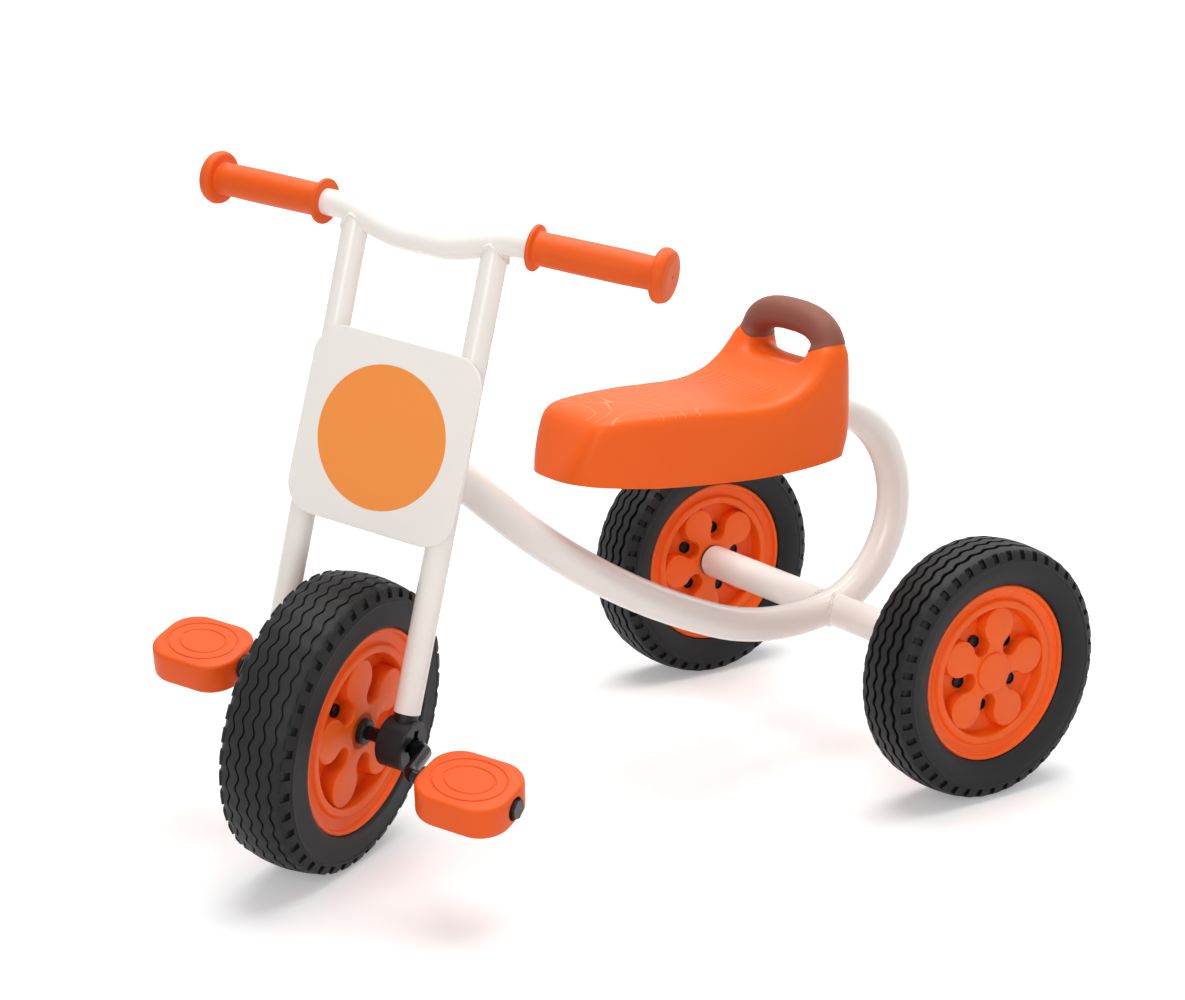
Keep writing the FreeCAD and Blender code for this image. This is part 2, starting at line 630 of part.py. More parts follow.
def make_seat_bracket(y):
    """Steel saddle welded to the top of the main tube, with a flat deck for the seat."""
    top = SEAT_TUBE_Z + FRAME_OD / 2
    l = BRACKET_L / 2
    deck = box(-BRACKET_W / 2, BRACKET_W / 2, y - l, y + l, top, top + BRACKET_T)
    webs = [box(s * 14.0 - 2.0, s * 14.0 + 2.0, y - l, y + l, SEAT_TUBE_Z + 2, top) for s in (-1, 1)]
    shape = deck.fuse(webs).removeSplitter()
    tube = Part.makeCylinder(FRAME_OD / 2, BRACKET_L * 2, V(0, y - BRACKET_L, SEAT_TUBE_Z), V(0, 1, 0))
    shape = shape.cut(tube)
    for x in (-SEAT_SCREW_X, SEAT_SCREW_X):
        shape = shape.cut(cyl_z(SEAT_SCREW_D / 2 + 0.25, top - 1, top + BRACKET_T + 1, x, y))
    return shape


def make_seat_screws():
    top = SEAT_TUBE_Z + FRAME_OD / 2
    screws = []
    for y in (BRACKET_FRONT_Y, BRACKET_REAR_Y):
        for x in (-SEAT_SCREW_X, SEAT_SCREW_X):
            head = cyl_z(SEAT_SCREW_D * 0.95, top - 3.0, top, x, y)
            shank = cyl_z(SEAT_SCREW_D / 2, top, top + BRACKET_T + 6.0, x, y)
            screws.append(fuse(head, shank))
    return Part.makeCompound(screws)


def make_tube_plug():
    """Plastic plug in the open front end of the main tube, under the seat's nose."""
    y = LOOP_TOP_Y - SEAT_STRAIGHT
    body = Part.makeCylinder(FRAME_OD / 2 - FRAME_WALL - SEAT_FIT, 14, V(0, y, SEAT_TUBE_Z), V(0, 1, 0))
    cap = Part.makeCylinder(FRAME_OD / 2, 3, V(0, y - 3, SEAT_TUBE_Z), V(0, 1, 0))
    return fuse(body, cap)


# ---- fork, in its own frame -------------------------------------------------------------------------
def bar_path(end_x):
    sweep = math.tan(math.radians(BAR_SWEEP))
    dip = BAR_Z - BAR_DIP
    back = (end_x - BAR_RISE_X) * sweep
    pts = [V(-end_x, back, BAR_Z), V(-BAR_RISE_X, 0, BAR_Z), V(-BAR_FLAT_HALF, 0, dip),
           V(BAR_FLAT_HALF, 0, dip), V(BAR_RISE_X, 0, BAR_Z), V(end_x, back, BAR_Z)]
    return bend_path(pts, [60.0, 80.0, 80.0, 60.0])


def make_handlebar():
    wire = bar_path(BAR_END_X)
    return sweep_round(wire, FORK_OD / 2).cut(sweep_round(wire, FORK_OD / 2 - FORK_WALL))


def make_leg(side):
    x = side * LEG_HALF_SPACING
    tube = cyl_z(FORK_OD / 2, LEG_FOOT_Z, BAR_Z, x).cut(cyl_z(FORK_OD / 2 - FORK_WALL, LEG_FOOT_Z, BAR_Z, x))
    tube = tube.cut(sweep_round(bar_path(BAR_END_X), FORK_OD / 2))
    return min(tube.Solids, key=lambda s: s.BoundBox.ZMin)


def make_grip(side):
    """Rubbery grip along the swept end of the bar: inner flange, slightly barrelled body, end knob."""
    r = GRIP_D / 2
    fr = GRIP_FLANGE_D / 2
    kr = GRIP_KNOB_D / 2
    x0 = GRIP_IN_X
    x1 = GRIP_OUT_X
    bore = FORK_OD / 2 + SEAT_FIT
    xk = x1 - GRIP_KNOB_T
    grip = turn_x([(x0, bore), (x0, fr - 1.0), (x0 + 1.0, fr), (x0 + GRIP_FLANGE_T - 1.0, fr),
                   (x0 + GRIP_FLANGE_T, fr - 1.0), (x0 + GRIP_FLANGE_T, r - 0.4), ((x0 + xk) / 2, r + 0.7),
                   (xk, r - 0.2), (xk, kr - 3.5), (xk + 2.0, kr - 0.6), (xk + 5.0, kr), (x1 - 4.0, kr - 1.2),
                   (x1 - 1.0, kr - 5.0), (x1, kr - 9.0), (x1, 0), (BAR_END_X + 0.4, 0), (BAR_END_X + 0.4, bore)])
    grip = moved(grip, z=BAR_Z)
    grip.rotate(V(BAR_RISE_X, 0, BAR_Z), V(0, 0, 1), BAR_SWEEP)
    return grip if side > 0 else mirrored_x(grip)


def make_yoke(z0):
    """Flat steel plate from both legs back to the steering axis."""
    x = LEG_HALF_SPACING
    pts = [(-x, -7.0), (x, -7.0), (x, 6.0), (YOKE_TAIL_R - 2.0, FORK_OFFSET + 6.0),
           (2.0 - YOKE_TAIL_R, FORK_OFFSET + 6.0), (-x, 6.0)]
    plate = prism(pts, "z", z0, z0 + YOKE_T)
    plate = fuse(plate, cyl_z(YOKE_TAIL_R, z0, z0 + YOKE_T, 0, FORK_OFFSET))
    for side in (-1, 1):
        plate = plate.cut(cyl_z(FORK_OD / 2, z0 - 1, z0 + YOKE_T + 1, side * x))
    return plate.cut(cyl_z(PIN_D / 2 + SEAT_FIT, z0 - 1, z0 + YOKE_T + 1, 0, FORK_OFFSET))


def make_plate():
    """Steel plate with rounded corners in front of the legs."""
    h = PLATE_W / 2
    y1 = -FORK_OD / 2
    blank = box(-h, h, y1 - PLATE_T, y1, -h, h)
    edges = [e for e in blank.Edges if abs(e.Vertexes[0].Y - e.Vertexes[-1].Y) > 1]
    plate = blank.makeFillet(PLATE_R, edges)
    rim = [e for e in plate.Edges if e.CenterOfMass.y < y1 - PLATE_T + 0.1 and len(e.Vertexes) == 2
           and abs(e.Vertexes[0].Y - e.Vertexes[-1].Y) < 0.1]
    plate = plate.makeFillet(1.0, rim)
    plate.rotate(V(0, 0, 0), V(0, 1, 0), PLATE_TURN)
    return moved(plate, x=PLATE_SHIFT_X, z=PLATE_Z)


def strip_heights():
    return (PLATE_Z - STRIP_PITCH / 2, PLATE_Z + STRIP_PITCH / 2)


def make_strips():
    """Two flat strips welded between the legs; the plate is riveted to them from behind."""
    y1 = -FORK_OD / 2
    strips = []
    for z in strip_heights():
        s = box(-LEG_HALF_SPACING, LEG_HALF_SPACING, y1, y1 + STRIP_T, z - STRIP_H / 2, z + STRIP_H / 2)
        for side in (-1, 1):
            s = s.cut(cyl_z(FORK_OD / 2, z - STRIP_H, z + STRIP_H, side * LEG_HALF_SPACING))
        for x in (-30.0, 30.0):
            s = s.cut(Part.makeCylinder(STUD_D / 2 + SEAT_FIT, STRIP_T * 3, V(x, y1 - STRIP_T, z), V(0, 1, 0)))
        strips.append(max(s.Solids, key=lambda q: q.Volume))
    return Part.makeCompound(strips)


def make_plate_studs():
    y1 = -FORK_OD / 2
    studs = []
    for z in strip_heights():
        for x in (-30.0, 30.0):
            shank = Part.makeCylinder(STUD_D / 2, STRIP_T, V(x, y1, z), V(0, 1, 0))
            head = Part.makeCylinder(STUD_D * 0.9, 2.5, V(x, y1 + STRIP_T, z), V(0, 1, 0))
            studs.append(fuse(shank, head))
    return Part.makeCompound(studs)


def make_housing(side):
    """Moulded fork end: round bearing block on the axle, with a neck and a plug up into the leg."""
    x = LEG_HALF_SPACING
    r = HOUSING_D / 2
    x0 = HOUSING_IN_X
    x1 = HOUSING_IN_X + HOUSING_LEN
    block = turn_x([(x0, 0), (x0, r - 1.5), (x0 + 1.5, r), (x1 - 1.5, r), (x1, r - 1.5), (x1, 0)])
    neck = cyl_z(HOUSING_NECK_D / 2, 0, LEG_FOOT_Z, x)
    plug = cyl_z(FORK_OD / 2 - FORK_WALL - SEAT_FIT, LEG_FOOT_Z, LEG_FOOT_Z + HOUSING_PLUG, x)
    shape = fuse(block, neck, plug)
    bush_r = CRANK_BUSH_OD / 2 + SEAT_FIT
    shape = shape.cut(cyl_x(bush_r, x0 - 1, x1 + 1))
    arm = bush_r + 5.0
    pocket = 7.0
    cross = box(x1 - pocket, x1 + 1, -3.5, 3.5, -arm, arm).fuse(box(x1 - pocket, x1 + 1, -arm, arm, -3.5, 3.5))
    shape = shape.cut(cross)
    z = LEG_FOOT_Z + HOUSING_PLUG / 2
    shape = shape.cut(Part.makeCylinder(2.0, 40, V(x, 0, z), V(0, 1, 0)))
    return shape if side > 0 else mirrored_x(shape)


def make_housing_screws():
    """One screw through the back of each leg into the plug."""
    z = LEG_FOOT_Z + HOUSING_PLUG / 2
    screws = []
    for side in (-1, 1):
        x = side * LEG_HALF_SPACING
        shank = Part.makeCylinder(1.9, FORK_OD / 2 - 1, V(x, 1.0, z), V(0, 1, 0))
        head = Part.makeCylinder(3.8, 2.6, V(x, FORK_OD / 2 - 0.4, z), V(0, 1, 0))
        screws.append(fuse(shank, head))
    return Part.makeCompound(screws)


def drill_leg(leg, side):
    """Hole and spot face in the back of a leg for the plug's screw."""
    x = side * LEG_HALF_SPACING
    z = LEG_FOOT_Z + HOUSING_PLUG / 2
    leg = leg.cut(Part.makeCylinder(2.0, 20, V(x, 0, z), V(0, 1, 0)))
    return leg.cut(Part.makeCylinder(3.9, 5, V(x, FORK_OD / 2 - 0.4, z), V(0, 1, 0)))


def make_crank_bush(side):
    x0 = HOUSING_IN_X
    bush = ring_x(CRANK_BUSH_OD / 2, ROD_D / 2 + RUN_FIT, x0, x0 + HOUSING_LEN - 7.0)
    return bush if side > 0 else mirrored_x(bush)


# ---- crank, front wheel and pedals, in the fork's frame --------------------------------------------
def arm_end(side):
    a = math.radians(CRANK_REST)
    return V(0, -side * CRANK_THROW * math.cos(a), -side * CRANK_THROW * math.sin(a))


PEDAL_OUT_X = PEDAL_IN_X + PEDAL_LEN
NUT_IN_X = PEDAL_OUT_X - PEDAL_RECESS + PEDAL_FLOAT + SIDE_GAP
SPINDLE_END_X = NUT_IN_X + 5.0


def make_crank_rod():
    """One bent steel rod: left spindle, left arm, axle, right arm, right spindle."""
    l = arm_end(1)
    r = arm_end(-1)
    pts = [V(SPINDLE_END_X, l.y, l.z), V(SPINDLE_X, l.y, l.z), V(CRANK_ROOT_X, 0, 0),
           V(-CRANK_ROOT_X, 0, 0), V(-SPINDLE_X, r.y, r.z), V(-SPINDLE_END_X, r.y, r.z)]
    return sweep_round(bend_path(pts, [CRANK_BEND_R] * 4), ROD_D / 2)


def make_collar(side):
    x0 = F_HUB_FACE
    collar = turn_x([(x0, ROD_D / 2 + SEAT_FIT), (x0, COLLAR_D / 2), (x0 + COLLAR_T - 1.5, COLLAR_D / 2),
                     (x0 + COLLAR_T, COLLAR_D / 2 - 1.5), (x0 + COLLAR_T, ROD_D / 2 + SEAT_FIT)])
    return collar if side > 0 else mirrored_x(collar)


def front_wheel():
    bore = ROD_D / 2 + SEAT_FIT
    scale = (F_RIM_R - FLANGE_H) / (R_RIM_R - FLANGE_H)
    half = make_rim_half(F_RIM_R, F_RIM_HALF, WEB_DEPTH_F, F_HUB_FACE, bore, F_HUB_FACE,
                         BEAD_RING_R * scale, PETAL_R * scale)
    half = turned(half, FRONT_WHEEL_TURN)
    return {
        "front_rim_left": half,
        "front_rim_right": mirrored_x(half),
        "front_tyre": make_tyre(F_TYRE_R, F_TYRE_W, F_RIM_R, F_RIM_HALF, (-20.0, -7.0, 7.0, 20.0)),
        "front_rim_screws": turned(make_rim_screws(F_RIM_HALF, WEB_DEPTH_F), FRONT_WHEEL_TURN),
    }


def make_pedal(side):
    """Pedal block about its own spindle, with a through bore and a recess for the nut."""
    l = PEDAL_LEN
    w = PEDAL_W / 2
    h = PEDAL_H / 2
    blank = box(PEDAL_IN_X, PEDAL_IN_X + l, -w, w, -h, h)
    upright = [e for e in blank.Edges if abs(e.Vertexes[0].Z - e.Vertexes[-1].Z) > 1]
    block = blank.makeFillet(PEDAL_CORNER_R, upright)
    rim = [e for e in block.Edges if abs(e.Vertexes[0].Z - e.Vertexes[-1].Z) < 0.1]
    block = block.makeFillet(3.5, rim)
    block = block.cut(cyl_x(PEDAL_BUSH_OD / 2 + SEAT_FIT, 0, PEDAL_OUT_X + 5))
    block = block.cut(cyl_x(PEDAL_RECESS_D / 2, PEDAL_OUT_X - PEDAL_RECESS, PEDAL_OUT_X + 5))
    return block


def pedal_frame(shape, side):
    """Turns a pedal piece about the spindle and puts it on its crank arm."""
    s = shape if side > 0 else mirrored_x(moved(shape, x=PEDAL_FLOAT))
    s = turned(s, PEDAL_TILT)
    p = arm_end(side)
    return moved(s, 0, p.y, p.z)


def pedal_pieces(side):
    name = "left" if side > 0 else "right"
    run = ROD_D / 2 + RUN_FIT
    bed = PEDAL_OUT_X - PEDAL_RECESS
    inner = fuse(ring_x(PEDAL_BUSH_OD / 2, run, PEDAL_IN_X, PEDAL_IN_X + 20.0),
                 ring_x(PEDAL_BUSH_OD / 2 + 2.0, run, PEDAL_IN_X - 3.0, PEDAL_IN_X))
    outer = ring_x(PEDAL_BUSH_OD / 2, run, bed - 20.0, bed)
    return {
        "pedal_block_" + name: pedal_frame(make_pedal(side), side),
        "pedal_bush_inner_" + name: pedal_frame(inner, side),
        "pedal_bush_outer_" + name: pedal_frame(outer, side),
    }


def make_pedal_nuts():
    one = hexagon(15.0, NUT_IN_X, SPINDLE_END_X)
    one = one.cut(cyl_x(ROD_D / 2 + SEAT_FIT, 0, PEDAL_OUT_X * 2))
    l = arm_end(1)
    r = arm_end(-1)
    return Part.makeCompound([moved(one, 0, l.y, l.z), moved(mirrored_x(one), 0, r.y, r.z)])


# ---- steering pin -----------------------------------------------------------------------------------
YOKE_GAP = HEAD_LEN / 2 + BUSH_FLANGE + SIDE_GAP


def make_steering_pin(head_z):
    lo = head_z - YOKE_GAP - YOKE_T
    hi = head_z + YOKE_GAP + YOKE_T
    head = cyl_z(PIN_D / 2 + 5.0, lo - 4.0, lo, 0, FORK_OFFSET)
    return fuse(head, cyl_z(PIN_D / 2, lo, hi + 14.0, 0, FORK_OFFSET))


def make_steering_nut(head_z):
    hi = head_z + YOKE_GAP + YOKE_T
    r = 24.0 / math.sqrt(3)
    pts = [(r * math.cos(math.radians(60 * i)), FORK_OFFSET + r * math.sin(math.radians(60 * i))) for i in range(6)]
    nut = prism(pts, "z", hi + 2.0, hi + 13.0)
    washer = cyl_z(15.0, hi, hi + 2.0, 0, FORK_OFFSET)
    return fuse(nut, washer).cut(cyl_z(PIN_D / 2 + SEAT_FIT, hi - 1, hi + 15.0, 0, FORK_OFFSET))


# ---- assembly ---------------------------------------------------------------------------------------
def find_head_local_z(tyre):
    """Height of the head tube's middle in the fork's frame, with which the front tyre touches the ground."""
    probe = placed(tyre, fork_placement(STEER_REST, 0.0))
    return lowest(probe) / AXIS_UP.z


def build():
    nodes = {}
    nodes["main_tube"] = make_main_tube()
    nodes["head_tube"] = make_head_tube()
    nodes["head_bush_upper"] = make_head_bush(True)
    nodes["head_bush_lower"] = make_head_bush(False)
    nodes["axle_tube_left"] = make_axle_tube(1)
    nodes["axle_tube_right"] = make_axle_tube(-1)
    nodes["rear_axle_shaft"] = make_shaft()
    nodes["axle_end_bush_left"] = make_axle_end_bush(1)
    nodes["axle_end_bush_right"] = make_axle_end_bush(-1)
    nodes["rear_axle_washers"] = make_axle_washers()
    nodes["rear_axle_nuts"] = make_axle_nuts()
    nodes["seat_shell"], nodes["seat_handle_grip"] = seat_parts()
    nodes["seat_bracket_front"] = make_seat_bracket(BRACKET_FRONT_Y)
    nodes["seat_bracket_rear"] = make_seat_bracket(BRACKET_REAR_Y)
    nodes["seat_screws"] = make_seat_screws()
    nodes["main_tube_plug"] = make_tube_plug()
    nodes.update(rear_wheel(1))
    nodes.update(rear_wheel(-1))

    wheel = front_wheel()
    head_z = find_head_local_z(wheel["front_tyre"])
    fork = {
        "fork_leg_left": drill_leg(make_leg(1), 1),
        "fork_leg_right": drill_leg(make_leg(-1), -1),
        "handlebar_tube": make_handlebar(),
        "grip_left": make_grip(1),
        "grip_right": make_grip(-1),
        "yoke_upper": make_yoke(head_z + YOKE_GAP),
        "yoke_lower": make_yoke(head_z - YOKE_GAP - YOKE_T),
        "steering_pin": make_steering_pin(head_z),
        "steering_nut": make_steering_nut(head_z),
        "front_plate": make_plate(),
        "front_plate_strips": make_strips(),
        "front_plate_studs": make_plate_studs(),
        "fork_end_left": make_housing(1),
        "fork_end_right": make_housing(-1),
        "crank_bush_left": make_crank_bush(1),
        "crank_bush_right": make_crank_bush(-1),
        "fork_end_screws": make_housing_screws(),
        "crank_rod": make_crank_rod(),
        "hub_collar_left": make_collar(1),
        "hub_collar_right": make_collar(-1),
        "pedal_nuts": make_pedal_nuts(),
    }
    fork.update(wheel)
    fork.update(pedal_pieces(1))
    fork.update(pedal_pieces(-1))
    place = fork_placement(STEER_REST, head_z)
    for name, shape in fork.items():
        nodes[name] = placed(shape, place)
    return nodes, place


def footprint_middle(nodes):
    """Middle of the outermost edges in X and Y, where the origin goes."""
    xs = []
    ys = []
    for shape in nodes.values():
        for p in shape.tessellate(0.05)[0]:
            xs.append(p.x)
            ys.append(p.y)
    return (min(xs) + max(xs)) / 2, (min(ys) + max(ys)) / 2


def main():
    nodes, place = build()
    mx, my = footprint_middle(nodes)
    os.makedirs("parts", exist_ok=True)
    for name, shape in nodes.items():
        s = moved(shape, -mx, -my, 0)
        for solid in s.Solids:
            if not solid.isValid():
                print("not valid:", name)
        s.exportStep("parts/" + name + ".step")
    shift = V(-mx, -my, 0)
    across, back = fork_axes(STEER_REST)
    print("nodes", len(nodes))
    print("origin shift", round(-mx, 3), round(-my, 3))
    print("steering", [round(c, 4) for c in HEAD_AT + shift], "axis", [round(c, 6) for c in AXIS_UP])
    print("front wheel", [round(c, 4) for c in place.Base + shift], "axis", [round(c, 6) for c in across])
    for side, name in ((1, "pedal left"), (-1, "pedal right")):
        e = arm_end(side)
        local = V(side * (PEDAL_IN_X + PEDAL_LEN / 2 + (0 if side > 0 else PEDAL_FLOAT)), e.y, e.z)
        print(name, [round(c, 4) for c in place.multVec(local) + shift])
    print("rear wheels", [round(c, 4) for c in V(R_WHEEL_X, 0, R_TYRE_R) + shift],
          [round(c, 4) for c in V(-R_WHEEL_X, 0, R_TYRE_R) + shift])
    print("back", [round(c, 6) for c in back])
    print("seat tube z", round(SEAT_TUBE_Z, 3), "loop top y", round(LOOP_TOP_Y - my, 3))


main()
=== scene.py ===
import json
import math

import bpy
from mathutils import Matrix, Vector


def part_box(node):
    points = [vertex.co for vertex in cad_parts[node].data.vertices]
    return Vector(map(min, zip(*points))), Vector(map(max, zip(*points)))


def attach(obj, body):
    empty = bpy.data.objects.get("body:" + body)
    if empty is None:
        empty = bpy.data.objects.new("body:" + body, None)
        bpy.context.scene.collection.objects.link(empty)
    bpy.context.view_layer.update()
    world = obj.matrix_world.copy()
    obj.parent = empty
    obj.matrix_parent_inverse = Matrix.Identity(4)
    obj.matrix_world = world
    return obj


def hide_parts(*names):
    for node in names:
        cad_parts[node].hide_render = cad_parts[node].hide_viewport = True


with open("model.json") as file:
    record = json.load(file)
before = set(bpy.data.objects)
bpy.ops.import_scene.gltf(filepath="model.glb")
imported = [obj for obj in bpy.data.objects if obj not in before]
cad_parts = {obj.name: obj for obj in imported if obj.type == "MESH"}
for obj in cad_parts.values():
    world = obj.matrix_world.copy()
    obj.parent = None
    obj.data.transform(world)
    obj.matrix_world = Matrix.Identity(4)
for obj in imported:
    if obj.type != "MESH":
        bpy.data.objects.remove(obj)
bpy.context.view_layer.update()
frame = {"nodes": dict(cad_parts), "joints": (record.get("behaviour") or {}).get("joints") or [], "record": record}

nodes = frame["nodes"]
joints = {j["name"]: j for j in frame["joints"]}
scene = bpy.context.scene
bpy.ops.object.select_all(action="DESELECT")

# ---- Camera, floor and light ------------------------------------------------------------------------
# The tricycle stands on a white studio floor, seen from its front left and a little above.
# One broad panel hangs overhead, and weaker panels stand in front of it, at its left and behind it.
bpy.ops.object.camera_add(location=(1.8579, -1.2693, 0.8946),
                          rotation=(math.radians(90 - 15.61), 0, math.radians(55.58)))
camera = bpy.context.object
camera.data.lens = 81.04
camera.data.sensor_width = 36
scene.camera = camera
scene.view_settings.view_transform = "Standard"

PANELS = (      # place, turn about X and Z in degrees, size, watts
    ((-0.3, 0.5, 2.5), (12, 0), 2.4, 70),
    ((1.6, -2.2, 1.3), (66, 36), 1.3, 22),
    ((2.6, 0.3, 1.2), (68, 96), 1.2, 6),
    ((-0.4, 2.4, 1.7), (58, 190), 1.3, 10),
)
for place, (tip, turn), size, watts in PANELS:
    bpy.ops.object.light_add(type="AREA", location=place,
                             rotation=(math.radians(tip), 0, math.radians(turn)))
    panel = bpy.context.object.data
    panel.size = size
    panel.energy = watts


def shown_to_camera(tree):
    """1 for what the camera sees directly, in a mirror finish or through a clear one."""
    path = tree.nodes.new("ShaderNodeLightPath")
    first = tree.nodes.new("ShaderNodeMath")
    first.operation = "MAXIMUM"
    second = tree.nodes.new("ShaderNodeMath")
    second.operation = "MAXIMUM"
    tree.links.new(path.outputs["Is Camera Ray"], first.inputs[0])
    tree.links.new(path.outputs["Is Glossy Ray"], first.inputs[1])
    tree.links.new(first.outputs[0], second.inputs[0])
    tree.links.new(path.outputs["Is Transmission Ray"], second.inputs[1])
    return second.outputs[0]


world = bpy.data.worlds.new("studio_air")
scene.world = world
world.use_nodes = True
air = world.node_tree
air.nodes["Background"].inputs["Color"].default_value = (1, 1, 1, 1)
level = air.nodes.new("ShaderNodeMapRange")
level.inputs["To Min"].default_value = 0.30
level.inputs["To Max"].default_value = 1.0
air.links.new(shown_to_camera(air), level.inputs["Value"])
air.links.new(level.outputs["Result"], air.nodes["Background"].inputs["Strength"])

bpy.ops.mesh.primitive_plane_add(size=60, location=(0, 0, 0))
floor = bpy.context.object
floor.name = "studio_floor"
floor_paint = bpy.data.materials.new("floor_paint")
floor_paint.use_nodes = True
paint = floor_paint.node_tree
surface = paint.nodes["Principled BSDF"]
surface.inputs["Base Color"].default_value = (0.86, 0.86, 0.86, 1)
surface.inputs["Roughness"].default_value = 0.9
surface.inputs["Specular IOR Level"].default_value = 0.0
surface.inputs["Emission Color"].default_value = (1, 1, 1, 1)
floor_spot = paint.nodes.new("ShaderNodeTexCoord")
floor_reach = paint.nodes.new("ShaderNodeVectorMath")
floor_reach.operation = "LENGTH"
far_glow = paint.nodes.new("ShaderNodeMapRange")
far_glow.inputs["From Min"].default_value = 0.5
far_glow.inputs["From Max"].default_value = 3.0
far_glow.inputs["To Min"].default_value = 0.27
far_glow.inputs["To Max"].default_value = 0.76
glow = paint.nodes.new("ShaderNodeMath")
glow.operation = "MULTIPLY"
paint.links.new(floor_spot.outputs["Object"], floor_reach.inputs[0])
paint.links.new(floor_reach.outputs["Value"], far_glow.inputs["Value"])
paint.links.new(far_glow.outputs["Result"], glow.inputs[1])
paint.links.new(shown_to_camera(paint), glow.inputs[0])
paint.links.new(glow.outputs[0], surface.inputs["Emission Strength"])
floor.data.materials.append(floor_paint)


# ---- Painted steel: main tube, head tube, axle tubes, fork legs, handlebar and brackets -------------
# Round steel tube and flat plate, bent, cut to fit and welded, then powder coated in a warm white.
# The coat is glossy, with the faint waviness that powder leaves when it melts.
def surface_grain():
    """Slow shading and fine relief of a moulded or coated surface, as a group for the finishes."""
    group = bpy.data.node_groups.new("surface_grain", "ShaderNodeTree")
    face = group.interface
    face.new_socket("Vector", in_out="INPUT", socket_type="NodeSocketVector")
    face.new_socket("Cloud Scale", in_out="INPUT", socket_type="NodeSocketFloat")
    face.new_socket("Grain Scale", in_out="INPUT", socket_type="NodeSocketFloat")
    face.new_socket("Cloud", in_out="OUTPUT", socket_type="NodeSocketFloat")
    face.new_socket("Height", in_out="OUTPUT", socket_type="NodeSocketFloat")
    entry = group.nodes.new("NodeGroupInput")
    leave = group.nodes.new("NodeGroupOutput")
    cloud = group.nodes.new("ShaderNodeTexNoise")
    cloud.inputs["Detail"].default_value = 3
    grain = group.nodes.new("ShaderNodeTexNoise")
    grain.inputs["Detail"].default_value = 5
    group.links.new(entry.outputs["Vector"], cloud.inputs["Vector"])
    group.links.new(entry.outputs["Vector"], grain.inputs["Vector"])
    group.links.new(entry.outputs["Cloud Scale"], cloud.inputs["Scale"])
    group.links.new(entry.outputs["Grain Scale"], grain.inputs["Scale"])
    group.links.new(cloud.outputs["Fac"], leave.inputs["Cloud"])
    group.links.new(grain.outputs["Fac"], leave.inputs["Height"])
    return group


GRAIN = surface_grain()


def colour(red, green, blue):
    """Display colour, 0 to 255, as the linear colour that a shader takes."""
    parts = [c / 255 for c in (red, green, blue)]
    return tuple(c / 12.92 if c <= 0.04045 else ((c + 0.055) / 1.055) ** 2.4 for c in parts) + (1,)


def finish(name, base, shade, roughness, cloud_scale, grain_scale, depth):
    """A coated or moulded finish: two close colours clouded together, and a fine relief."""
    material = bpy.data.materials.new(name)
    material.use_nodes = True
    tree = material.node_tree
    shader = tree.nodes["Principled BSDF"]
    shader.inputs["Roughness"].default_value = roughness
    shader.inputs["Specular IOR Level"].default_value = 0.3
    coord = tree.nodes.new("ShaderNodeTexCoord")
    grain = tree.nodes.new("ShaderNodeGroup")
    grain.node_tree = GRAIN
    grain.name = "grain"
    grain.inputs["Cloud Scale"].default_value = cloud_scale
    grain.inputs["Grain Scale"].default_value = grain_scale
    mix = tree.nodes.new("ShaderNodeMix")
    mix.name = "clouded colour"
    mix.data_type = "RGBA"
    mix.inputs["A"].default_value = base
    mix.inputs["B"].default_value = shade
    bump = tree.nodes.new("ShaderNodeBump")
    bump.name = "relief"
    bump.inputs["Distance"].default_value = depth
    tree.links.new(coord.outputs["Object"], grain.inputs["Vector"])
    tree.links.new(grain.outputs["Cloud"], mix.inputs["Factor"])
    tree.links.new(mix.outputs["Result"], shader.inputs["Base Color"])
    tree.links.new(grain.outputs["Height"], bump.inputs["Height"])
    tree.links.new(bump.outputs["Normal"], shader.inputs["Normal"])
    return material


white_coat = finish("white_powder_coat", colour(246, 241, 234), colour(241, 235, 227), 0.32, 6, 260, 0.00002)
white_coat.node_tree.nodes["Principled BSDF"].inputs["Coat Weight"].default_value = 0.6
white_coat.node_tree.nodes["Principled BSDF"].inputs["Coat Roughness"].default_value = 0.12


def alone(piece):
    """Makes the piece the only one selected, and the active one."""
    if bpy.context.object and bpy.context.object.mode != "OBJECT":
        bpy.ops.object.mode_set(mode="OBJECT")
    bpy.ops.object.select_all(action="DESELECT")
    piece.select_set(True)
    bpy.context.view_layer.objects.active = piece


def dress(piece, material, body, slot, *stands_for):
    """Gives a piece its finish and its body, and hides the CAD nodes it stands for. The slot is not used."""
    piece.data.materials.clear()
    piece.data.materials.append(material)
    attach(piece, body)
    if stands_for:
        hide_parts(*stands_for)


def fair_copy(node, angle=35):
    """The CAD piece's own shape, its loose triangles joined and its round faces shaded round."""
    alone(nodes[node])
    bpy.ops.object.duplicate()
    piece = bpy.context.object
    for key in list(piece.keys()):
        del piece[key]
    piece.parent = None
    piece.name = node + "_finished"
    bpy.ops.mesh.customdata_custom_splitnormals_clear()
    bpy.ops.object.mode_set(mode="EDIT")
    bpy.ops.mesh.select_all(action="SELECT")
    bpy.ops.mesh.remove_doubles(threshold=0.000005)
    bpy.ops.object.mode_set(mode="OBJECT")
    bpy.ops.object.shade_smooth_by_angle(angle=math.radians(angle))
    return piece


body_of = {n: b for b, members in frame["record"]["behaviour"]["bodies"].items() for n in members}
slot_of = {s["node"]: s["material_slot"] for s in frame["record"]["subparts"]}
for node in ("main_tube", "head_tube", "axle_tube_left", "axle_tube_right", "seat_bracket_front",
             "seat_bracket_rear", "fork_leg_left", "fork_leg_right", "handlebar_tube", "yoke_upper",
             "yoke_lower", "front_plate", "front_plate_strips"):
    dress(fair_copy(node), white_coat, body_of[node], slot_of[node], node)

